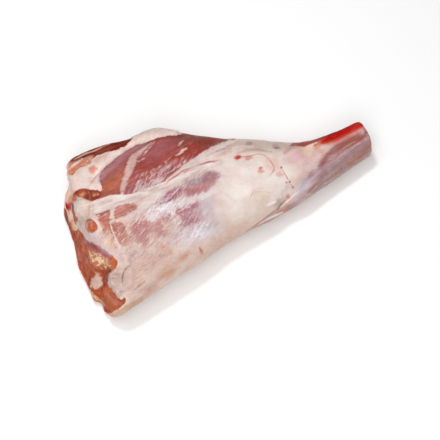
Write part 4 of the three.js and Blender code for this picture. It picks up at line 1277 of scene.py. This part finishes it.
# %% Frayed threads
def frays(line, count, degrees, lengths, half, rng):
    """Short curved threads that start along a line, all leaning about the same way."""
    starts = rounded(line, closed=False)
    along = np.linspace(0, len(starts) - 1, count) + rng.uniform(-0.3, 0.3, count)
    threads = []
    for place in along:
        root = np.array([np.interp(place, np.arange(len(starts)), starts[:, k]) for k in (0, 1)])
        root += rng.uniform(-1.5, 1.5, 2)
        heading = math.radians(degrees + rng.uniform(-9, 9))
        way = np.array([math.cos(heading), math.sin(heading)])
        length = rng.uniform(*lengths)
        bend = np.array([-way[1], way[0]]) * rng.uniform(-0.12, 0.12) * length
        middle = half * rng.uniform(0.5, 1.2)
        points = [root, root + way * length / 2 + bend, root + way * length]
        threads.append((points, (0.3 * half, middle, 0.1)))
    return threads


# Each row: line, how many threads, the way they lean in degrees, their lengths, half width.
THREAD_AND_GLINT_ROWS = [
    ([(-116, 15), (-105, 18), (-95, 21), (-85, 25), (-77, 30)], 30, 58, (5, 12), 0.55),
    ([(-92, 28), (-78, 35), (-64, 43), (-50, 54)], 14, 40, (4, 8), 0.45),
    ([(-112, 24), (-98, 29), (-84, 37), (-70, 46)], 22, 60, (4, 9), 0.35),
    ([(-110, 34), (-95, 39), (-80, 46)], 10, 60, (3, 7), 0.25),
    ([(-82, 0), (-72, 6), (-62, 13)], 14, 50, (5, 11), 0.6),
    ([(-57, -10), (-50, -6), (-44, -3)], 6, 40, (4, 7), 0.6),
    ([(-122, -30), (-100, -14), (-84, 0)], 10, 48, (6, 14), 0.5),
    ([(-54, -36), (-40, -30), (-24, -24)], 14, 46, (5, 11), 0.5),
    ([(-50, -48), (-34, -42), (-18, -34)], 12, 42, (5, 11), 0.5),
]
THREAD_REACH_MM = 2.4
chance = np.random.default_rng(5)
thread_and_glint_lines = [line for row in THREAD_AND_GLINT_ROWS for line in frays(*row, chance)]
thread = way_to_lines(thread_and_glint_lines, THREAD_REACH_MM)
print("threads:", len(thread_and_glint_lines))

# %% Blood spots
# Each row: centre, radius, stretch, degrees, tone.
BLOOD_SPOTS = [
    ((17.5, 59), 2.6, 1.5, 15, "B81C10"), ((46, 46), 1.8, 1.5, 0, "BC3A28"),
    ((46, 42.5), 3.0, 1.2, 0, "DD9C90"), ((71.5, 46.5), 1.5, 1.0, 0, "A32A20"),
    ((80, 10), 2.8, 1.1, 40, "CE8478"), ((70, 38), 3.0, 1.3, 0, "DDB3AA"),
    ((-77, -52.5), 2.4, 1.2, 0, "D8988C"), ((-28.6, -58), 2.2, 2.0, -65, "C98A76"),
    ((31, 58), 2.4, 1.8, 10, "D09086"), ((82, 28.5), 1.0, 1.2, 0, "AA4038"),
    ((86, 21.5), 1.1, 1.3, 40, "A5564E"), ((78, 28), 1.0, 1.6, 0, "C99086"),
]
spot_noise = rough_noise(P, 3, 211)
for centre, radius, stretch, degrees, code in BLOOD_SPOTS:
    blot = spot(centre, radius, stretch, degrees) + 0.45 * radius * spot_noise
    paint(blot, 0.9 * radius, 0.9, white=code, lean=code)
print("blood spots:", len(BLOOD_SPOTS))

# %% [markdown]
# ## Shape the clay
#
# The relief moves each vertex along its normal. Then shade is painted into the hollows and light onto the
# ridges, darkening and lightening both coats. How hollow a place is shows in how far its neighbours' mean
# lies in front of it.

# %% Apply the relief
SHADE_PASSES = 14
HOLLOW_PAINTED_SHADE = 0.34
RIDGE_PAINTED_LIGHT = 0.12
raised += rag(0.5, 14, 201) + rag(0.22, 5, 203)
shaped = P + N * (raised * away_from_bone)[:, None]
shaped[:, 2] = np.maximum(shaped[:, 2], 0.0)
write_points(meat.data, shaped)

edges, count = edges_of(meat.data)
flattened = shaped
for _ in range(SHADE_PASSES):
    flattened = neighbour_mean(flattened, edges, count)
hollowness = ((flattened - shaped) * read_normals(meat.data)).sum(1)
# Painted shade in the hollows and painted light on the ridges, multiplied into both coats.
painted_hollow_shade_and_ridge_light = (1 - HOLLOW_PAINTED_SHADE * smoothstep(0.1, 1.3, hollowness)
                + RIDGE_PAINTED_LIGHT * smoothstep(0.1, 0.8, -hollowness))
for coat in START_COATS:
    layers[coat] *= painted_hollow_shade_and_ridge_light[:, None]
print("relief from", round(float(raised.min()), 2), "to", round(float(raised.max()), 2), "mm")


# %% Store the layers on the mesh
def store(mesh, name, values):
    """Keeps a layer on the mesh: one number, or three, for each vertex."""
    values = np.asarray(values, np.float32)
    if values.ndim == 1:
        mesh.attributes.new(name, "FLOAT", "POINT").data.foreach_set("value", values)
    elif name in START_COATS:
        rgba = np.column_stack([values, np.ones(len(values), np.float32)])
        mesh.attributes.new(name, "FLOAT_COLOR", "POINT").data.foreach_set("color", rgba.ravel())
    else:
        mesh.attributes.new(name, "FLOAT_VECTOR", "POINT").data.foreach_set("vector", values.ravel())


layers["grain"] = along_chart(GRAIN_DEGREES)
layers["vessel"] = vessel
layers["thread"] = thread
for name, values in layers.items():
    store(meat.data, name, values)
print("stored:", ", ".join(layers))

# %% [markdown]
# ## The material of raw meat
#
# Raw meat is soft and wet. Light goes in, scatters and comes out redder (subsurface), and a film of water
# on top gives small sharp highlights (the coat). One material serves lean and fat, since they blend into
# each other everywhere. The film has water's IOR of 1.33 and the tissue one of 1.36. The two are so close
# that almost nothing is mirrored where they meet, so the gloss is the film's and the tissue's own is low.

# %% A helper for nodes
COLOUR_A = 6
COLOUR_B = 7
MIXED_COLOUR = 2


def add(tree, kind, links=(), output=0, **settings):
    """Adds a node and gives one of its outputs. links are (input, value or socket) pairs."""
    node = tree.nodes.new("ShaderNode" + kind)
    for key, value in settings.items():
        setattr(node, key, value)
    for key, value in links:
        if isinstance(value, bpy.types.NodeSocket):
            tree.links.new(value, node.inputs[key])
        else:
            node.inputs[key].default_value = value
    return node.outputs[output] if node.outputs else node


def per_mm(size):
    """A texture scale for a pattern of that size in mm, on coordinates in metres."""
    return 1000.0 / size


print("scale of a pattern of 20 mm:", per_mm(20))

# %% Raw meat: the layers in its material
OUTPUT_OF = {"lean": "Color", "white": "Color", "grain": "Vector", "vessel": "Vector", "thread": "Vector"}
raw_meat = bpy.data.materials.new("raw_lamb_muscle_and_fat")
raw_meat.use_nodes = True
tree = raw_meat.node_tree
tree.nodes.clear()
layer = {name: add(tree, "Attribute", output=OUTPUT_OF.get(name, "Fac"), attribute_name=name)
         for name in layers}
place = add(tree, "TexCoord", output="Object")
aslant_grain = add(tree, "VectorRotate", [
    ("Vector", layer["grain"]), ("Angle", math.radians(GRAIN_DEGREES - WRINKLE_DEGREES))],
    rotation_type="Z_AXIS")


def grain_noise(length, width, detail, roughness, distortion=0.0):
    """Streaks of that length and width in mm: along the leg, or along the wrinkles where aslant is 1."""
    runs = []
    for way in (layer["grain"], aslant_grain):
        drawn = add(tree, "VectorMath", [(0, way), (1, (1 / length, 1 / width, 0.4 / width))],
                    operation="MULTIPLY")
        runs.append(add(tree, "TexNoise", [("Vector", drawn), ("Scale", 1.0), ("Detail", detail),
                                           ("Roughness", roughness), ("Distortion", distortion)]))
    return add(tree, "Mix", [("Factor", layer["aslant"]), ("A", runs[0]), ("B", runs[1])])


print("layers in the material:", len(layer))

# %% Raw meat: which coat shows
long_web = grain_noise(length=13, width=2.4, detail=5.0, roughness=0.66, distortion=0.4)
short_web = grain_noise(length=6, width=1.0, detail=4.0, roughness=0.6, distortion=0.3)
web = add(tree, "Math", [(0, long_web), (1, short_web)], operation="ADD")
web_signed = add(tree, "MapRange", [("Value", web), ("From Min", 0.7), ("From Max", 1.3),
                                    ("To Min", -1.0), ("To Max", 1.0)])
shifted = add(tree, "Math", [(0, web_signed), (1, layer["ragged"]), (2, layer["cover"])],
              operation="MULTIPLY_ADD")
ratio = add(tree, "Math", [(0, shifted), (1, layer["gauze"])], operation="DIVIDE")
is_white = add(tree, "MapRange", [("Value", ratio), ("From Min", -1.0), ("From Max", 1.0)],
               interpolation_type="SMOOTHSTEP")
print("nodes so far:", len(tree.nodes))

# %% Raw meat: fibres and mottling
BLOTCH_MM = 20
PALE_TINT = (1.03, 1.03, 1.02, 1.0)
FLUSHED_TINT = (0.92, 0.80, 0.76, 1.0)
fibres = grain_noise(length=16, width=1.3, detail=3.0, roughness=0.6)
fibre_shade = add(tree, "MapRange", [("Value", fibres), ("From Min", 0.3), ("From Max", 0.7),
                                     ("To Min", -0.2), ("To Max", 0.2)])
fibre_amount = add(tree, "Math", [(0, fibre_shade), (1, layer["fibre"])], operation="MULTIPLY")
blotch = add(tree, "TexNoise", [("Vector", place), ("Scale", per_mm(BLOTCH_MM)), ("Detail", 7.0),
                                ("Roughness", 0.62)])
blotch_shade = add(tree, "MapRange", [("Value", blotch), ("From Min", 0.3), ("From Max", 0.7),
                                      ("To Min", 0.85), ("To Max", 1.13)])
shade = add(tree, "Math", [(0, fibre_amount), (1, blotch_shade)], operation="ADD")
lean_shaded = add(tree, "VectorMath", [(0, layer["lean"]), ("Scale", shade)], operation="SCALE")
flush = add(tree, "MapRange", [("Value", blotch), ("From Min", 0.62), ("From Max", 0.3)])
flush_tint = add(tree, "Mix", [(0, flush), (COLOUR_A, PALE_TINT), (COLOUR_B, FLUSHED_TINT)],
                 MIXED_COLOUR, data_type="RGBA")
white_shaded = add(tree, "VectorMath", [(0, layer["white"]), (1, flush_tint)], operation="MULTIPLY")
tissue = add(tree, "Mix", [(0, is_white), (COLOUR_A, lean_shaded), (COLOUR_B, white_shaded)],
             MIXED_COLOUR, data_type="RGBA")
print("nodes so far:", len(tree.nodes))

# %% Raw meat: threads and vessels
THREAD_AND_GLINT_WHITE = (*linear("E9DAD9"), 1.0)
BLOOD = (*linear("B0301F"), 1.0)
thread_noise = grain_noise(length=13, width=1.5, detail=2.0, roughness=0.5, distortion=0.3)
thread_line = add(tree, "MapRange", [("Value", thread_noise), ("From Min", 0.54), ("From Max", 0.68)],
                  interpolation_type="SMOOTHSTEP")
thread_amount = add(tree, "Math", [(0, thread_line), (1, layer["threads"])], operation="MULTIPLY",
                    use_clamp=True)
threaded = add(tree, "Mix", [(0, thread_amount), (COLOUR_A, tissue), (COLOUR_B, THREAD_AND_GLINT_WHITE)],
               MIXED_COLOUR, data_type="RGBA")


def drawn_line(name, blur, strength):
    """A mask for the lines whose nearest place each vertex stores: strength inside, fading over blur mm."""
    x, y, half_width = add(tree, "SeparateXYZ", [(0, layer[name])]).node.outputs
    flat = add(tree, "CombineXYZ", [(0, x), (1, y)])
    gap = add(tree, "VectorMath", [(0, flat)], "Value", operation="LENGTH")
    depth_in = add(tree, "Math", [(0, half_width), (1, gap)], operation="SUBTRACT")
    return add(tree, "MapRange", [("Value", depth_in), ("From Min", -blur), ("From Max", blur),
                                  ("To Max", strength)], interpolation_type="SMOOTHSTEP")


# The drawn threads: white fibres, and painted glints where the gauze is glossy.
white_thread_and_glint = drawn_line("thread", blur=0.6, strength=0.8)
with_threads = add(tree, "Mix", [(0, white_thread_and_glint), (COLOUR_A, threaded), (COLOUR_B, THREAD_AND_GLINT_WHITE)],
                   MIXED_COLOUR, data_type="RGBA")
red_vessel = drawn_line("vessel", blur=0.55, strength=0.65)
with_vessels = add(tree, "Mix", [(0, red_vessel), (COLOUR_A, with_threads), (COLOUR_B, BLOOD)],
                   MIXED_COLOUR, data_type="RGBA")
speckle = grain_noise(length=5, width=1.7, detail=3.0, roughness=0.65, distortion=0.5)
speckle_shade = add(tree, "MapRange", [("Value", speckle), ("From Min", 0.3), ("From Max", 0.7),
                                       ("To Min", -0.2), ("To Max", 0.17)])
speckle_tone = add(tree, "Math", [(0, speckle_shade), (1, layer["grainy"]), (2, 1.0)],
                   operation="MULTIPLY_ADD")
colour = add(tree, "VectorMath", [(0, with_vessels), ("Scale", speckle_tone)], operation="SCALE")
print("nodes so far:", len(tree.nodes))

# %% Raw meat: relief too fine for the mesh
FINE_GRAIN_MM = 2.4
FINE_GRAIN_SHARE = 0.25
FOLD_SHARE = 1.2
THREAD_SHARE = 0.5
BUMP_MM = 0.8
fine_grain = add(tree, "TexNoise", [("Vector", place), ("Scale", per_mm(FINE_GRAIN_MM)), ("Detail", 4.0),
                                    ("Roughness", 0.55)])
folds = grain_noise(length=9, width=3.0, detail=2.0, roughness=0.5, distortion=0.4)
fold_relief = add(tree, "Math", [(0, folds), (1, layer["wet"]), (2, thread_amount)],
                  operation="MULTIPLY_ADD")
fibre_relief = add(tree, "Math", [(0, fibres), (1, layer["fibre"])], operation="MULTIPLY")
relief = fibre_relief
for height, share in ((fine_grain, FINE_GRAIN_SHARE), (fold_relief, FOLD_SHARE),
                      (white_thread_and_glint, THREAD_SHARE)):
    relief = add(tree, "Math", [(0, height), (1, share), (2, relief)], operation="MULTIPLY_ADD")
bump = add(tree, "Bump", [("Height", relief), ("Strength", 1.0), ("Distance", BUMP_MM * MM)])
print("nodes so far:", len(tree.nodes))

# %% Raw meat: gloss and the light inside
TISSUE_IOR = 1.36
WATER_IOR = 1.33
SCATTER_MM = 1.6
roughness = add(tree, "MapRange", [("Value", layer["wet"]), ("To Min", 0.6), ("To Max", 0.28)])
film = add(tree, "MapRange", [("Value", layer["wet"]), ("From Min", 0.1), ("From Max", 1.3)])
surface = add(tree, "BsdfPrincipled", [
    ("Base Color", colour), ("Roughness", roughness), ("Normal", bump),
    ("IOR", TISSUE_IOR), ("Specular IOR Level", 0.05),
    ("Subsurface Weight", 0.12), ("Subsurface Radius", (1.0, 0.35, 0.25)),
    ("Subsurface Scale", SCATTER_MM * MM),
    ("Coat Weight", film), ("Coat Roughness", 0.13), ("Coat IOR", WATER_IOR), ("Coat Normal", bump)])
add(tree, "OutputMaterial", [("Surface", surface)])
meat.data.materials.append(raw_meat)

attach(meat, "root")
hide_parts("leg_meat")
print("nodes in the meat's material:", len(tree.nodes))

# %% [markdown]
# ## The sawn bones
#
# Both bones end in a saw cut: a ring of dense ivory bone round darker red marrow. Each copy is a little
# wider than its solid, so that no gap opens between the bone and the meat. Bone is drier than meat: it
# has no film, and its pores make it dull.

# %% A bone's mesh and tones
BONE_VOXEL_MM = 0.8
BONE_PASSES = 3
SNUG_MM = 0.3
STAIN_CENTRE = (-194.0, -1.9)


def dress_bone(node, name, axis, marrow_radius, marrow_offset):
    """A finer copy of a bone, with red marrow inside its rim."""
    bone = fine_copy(node, name, BONE_VOXEL_MM)
    smooth_out(bone.data, BONE_PASSES, np.ones(len(bone.data.vertices)))
    q = read_points(bone.data)
    from_middle = q - (q.min(0) + q.max(0)) / 2
    across = from_middle - (from_middle @ axis)[:, None] * axis
    write_points(bone.data, q + SNUG_MM * across / np.linalg.norm(across, axis=1)[:, None])
    from_marrow = np.linalg.norm(across - marrow_offset, axis=1)
    stain = spot(STAIN_CENTRE, 4.0, 1.3, 80, chart_of(q)) + 0.6 * noise(q, 2, 303)
    tone = np.tile(linear("DCC4B2"), (len(q), 1))
    for share, code in (
            (0.6 * smoothstep(0, 0.6, rough_noise(q, 3, 301)), "C08E7C"),
            (smoothstep(1.15, 0.85, from_marrow / marrow_radius), "A5160F"),
            (0.9 * soft(stain, 2), "B80A05")):
        tone += share[:, None] * (linear(code) - tone)
    store(bone.data, "lean", tone)
    return bone


print("bone quads of", BONE_VOXEL_MM, "mm, on a solid widened by", SNUG_MM, "mm")

# %% The bones' material
PORE_MM = 0.9
PORE_DEPTH_MM = 0.4
BONE_SCATTER_MM = 2
sawn_bone = bpy.data.materials.new("sawn_raw_bone")
sawn_bone.use_nodes = True
tree = sawn_bone.node_tree
tree.nodes.clear()
bone_tone = add(tree, "Attribute", output="Color", attribute_name="lean")
bone_place = add(tree, "TexCoord", output="Object")
pores = add(tree, "TexNoise", [("Vector", bone_place), ("Scale", per_mm(PORE_MM)), ("Detail", 3.0)])
bone_bump = add(tree, "Bump", [("Height", pores), ("Strength", 0.5), ("Distance", PORE_DEPTH_MM * MM)])
bone_surface = add(tree, "BsdfPrincipled", [
    ("Base Color", bone_tone), ("Roughness", 0.45), ("Normal", bone_bump),
    ("IOR", 1.5), ("Specular IOR Level", 0.15),
    ("Subsurface Weight", 0.15), ("Subsurface Radius", (1.0, 0.5, 0.35)),
    ("Subsurface Scale", BONE_SCATTER_MM * MM)])
add(tree, "OutputMaterial", [("Surface", bone_surface)])
print("nodes in the bones' material:", len(tree.nodes))

# %% The bones
HIP_HEADING = np.array([-0.97, 0, 0.24]) / math.hypot(0.97, 0.24)
# Each row: node, piece, the way its saw cut faces, marrow's radius, marrow's centre off the bone's middle.
BONES = (("shank_bone", "shin_bone", SHANK_HEADING, 5.0, (0, 0, 0)),
         ("hip_bone", "pelvis_bone", HIP_HEADING, 5.0, (0, 4.0, 3.0)))
for node, name, axis, marrow_radius, marrow_offset in BONES:
    piece = dress_bone(node, name, axis, marrow_radius, marrow_offset)
    piece.data.materials.append(sawn_bone)
    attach(piece, "root")
    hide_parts(node)
    print(name, len(piece.data.vertices), "vertices")

# %% [markdown]
# ## Floor and light
#
# The leg lies on a matt white paper backdrop under soft light. The key light hangs close to the camera,
# so the leg's edges turn darker towards its outline and its shadow stays short.

# %% Floor
FLOOR_HALF = 6.0
FLOOR_GAP_MM = 0.3
corners = [(x * FLOOR_HALF, y * FLOOR_HALF, 0) for x, y in ((-1, -1), (1, -1), (1, 1), (-1, 1))]
floor_mesh = bpy.data.meshes.new("floor")
floor_mesh.from_pydata(corners, [], [(0, 1, 2, 3)])
floor = bpy.data.objects.new("floor", floor_mesh)
floor.location.z = -FLOOR_GAP_MM * MM
bpy.context.scene.collection.objects.link(floor)
paper = bpy.data.materials.new("white_paper_backdrop")
paper.use_nodes = True
paper.node_tree.nodes["Principled BSDF"].inputs["Base Color"].default_value = (0.97, 0.97, 0.97, 1)
paper.node_tree.nodes["Principled BSDF"].inputs["Roughness"].default_value = 0.9
floor_mesh.materials.append(paper)
print("floor", 2 * FLOOR_HALF, "m wide")


# %% Light
def softbox(name, direction, distance, size, watts):
    """A square light that faces the leg from a direction given as right, up and toward the camera."""
    lamp = bpy.data.lights.new(name, "AREA")
    lamp.size = size
    lamp.energy = watts
    lamp_object = bpy.data.objects.new(name, lamp)
    way = Vector(direction[0] * RIGHT + direction[1] * UP + direction[2] * TOWARD).normalized()
    lamp_object.location = way * distance
    lamp_object.rotation_euler = way.to_track_quat("Z", "Y").to_euler()
    bpy.context.scene.collection.objects.link(lamp_object)


# Each row: name, direction, distance in m, size in m, watts.
LAMPS = (
    ("key", (-0.15, 0.7, 0.75), 1.6, 0.2, 7.5),
    ("soft_key", (-0.2, 0.35, 0.95), 1.8, 1.3, 10),
    ("fill", (0.0, -0.25, 1.0), 1.8, 1.0, 12),
)
ROOM_LIGHT = 0.3
for lamp_row in LAMPS:
    softbox(*lamp_row)
world = bpy.data.worlds.new("studio")
world.use_nodes = True
world.node_tree.nodes["Background"].inputs["Color"].default_value = (1, 1, 1, 1)
world.node_tree.nodes["Background"].inputs["Strength"].default_value = ROOM_LIGHT
bpy.context.scene.world = world
bpy.context.scene.view_settings.view_transform = "Standard"
print("lamps:", len(LAMPS))
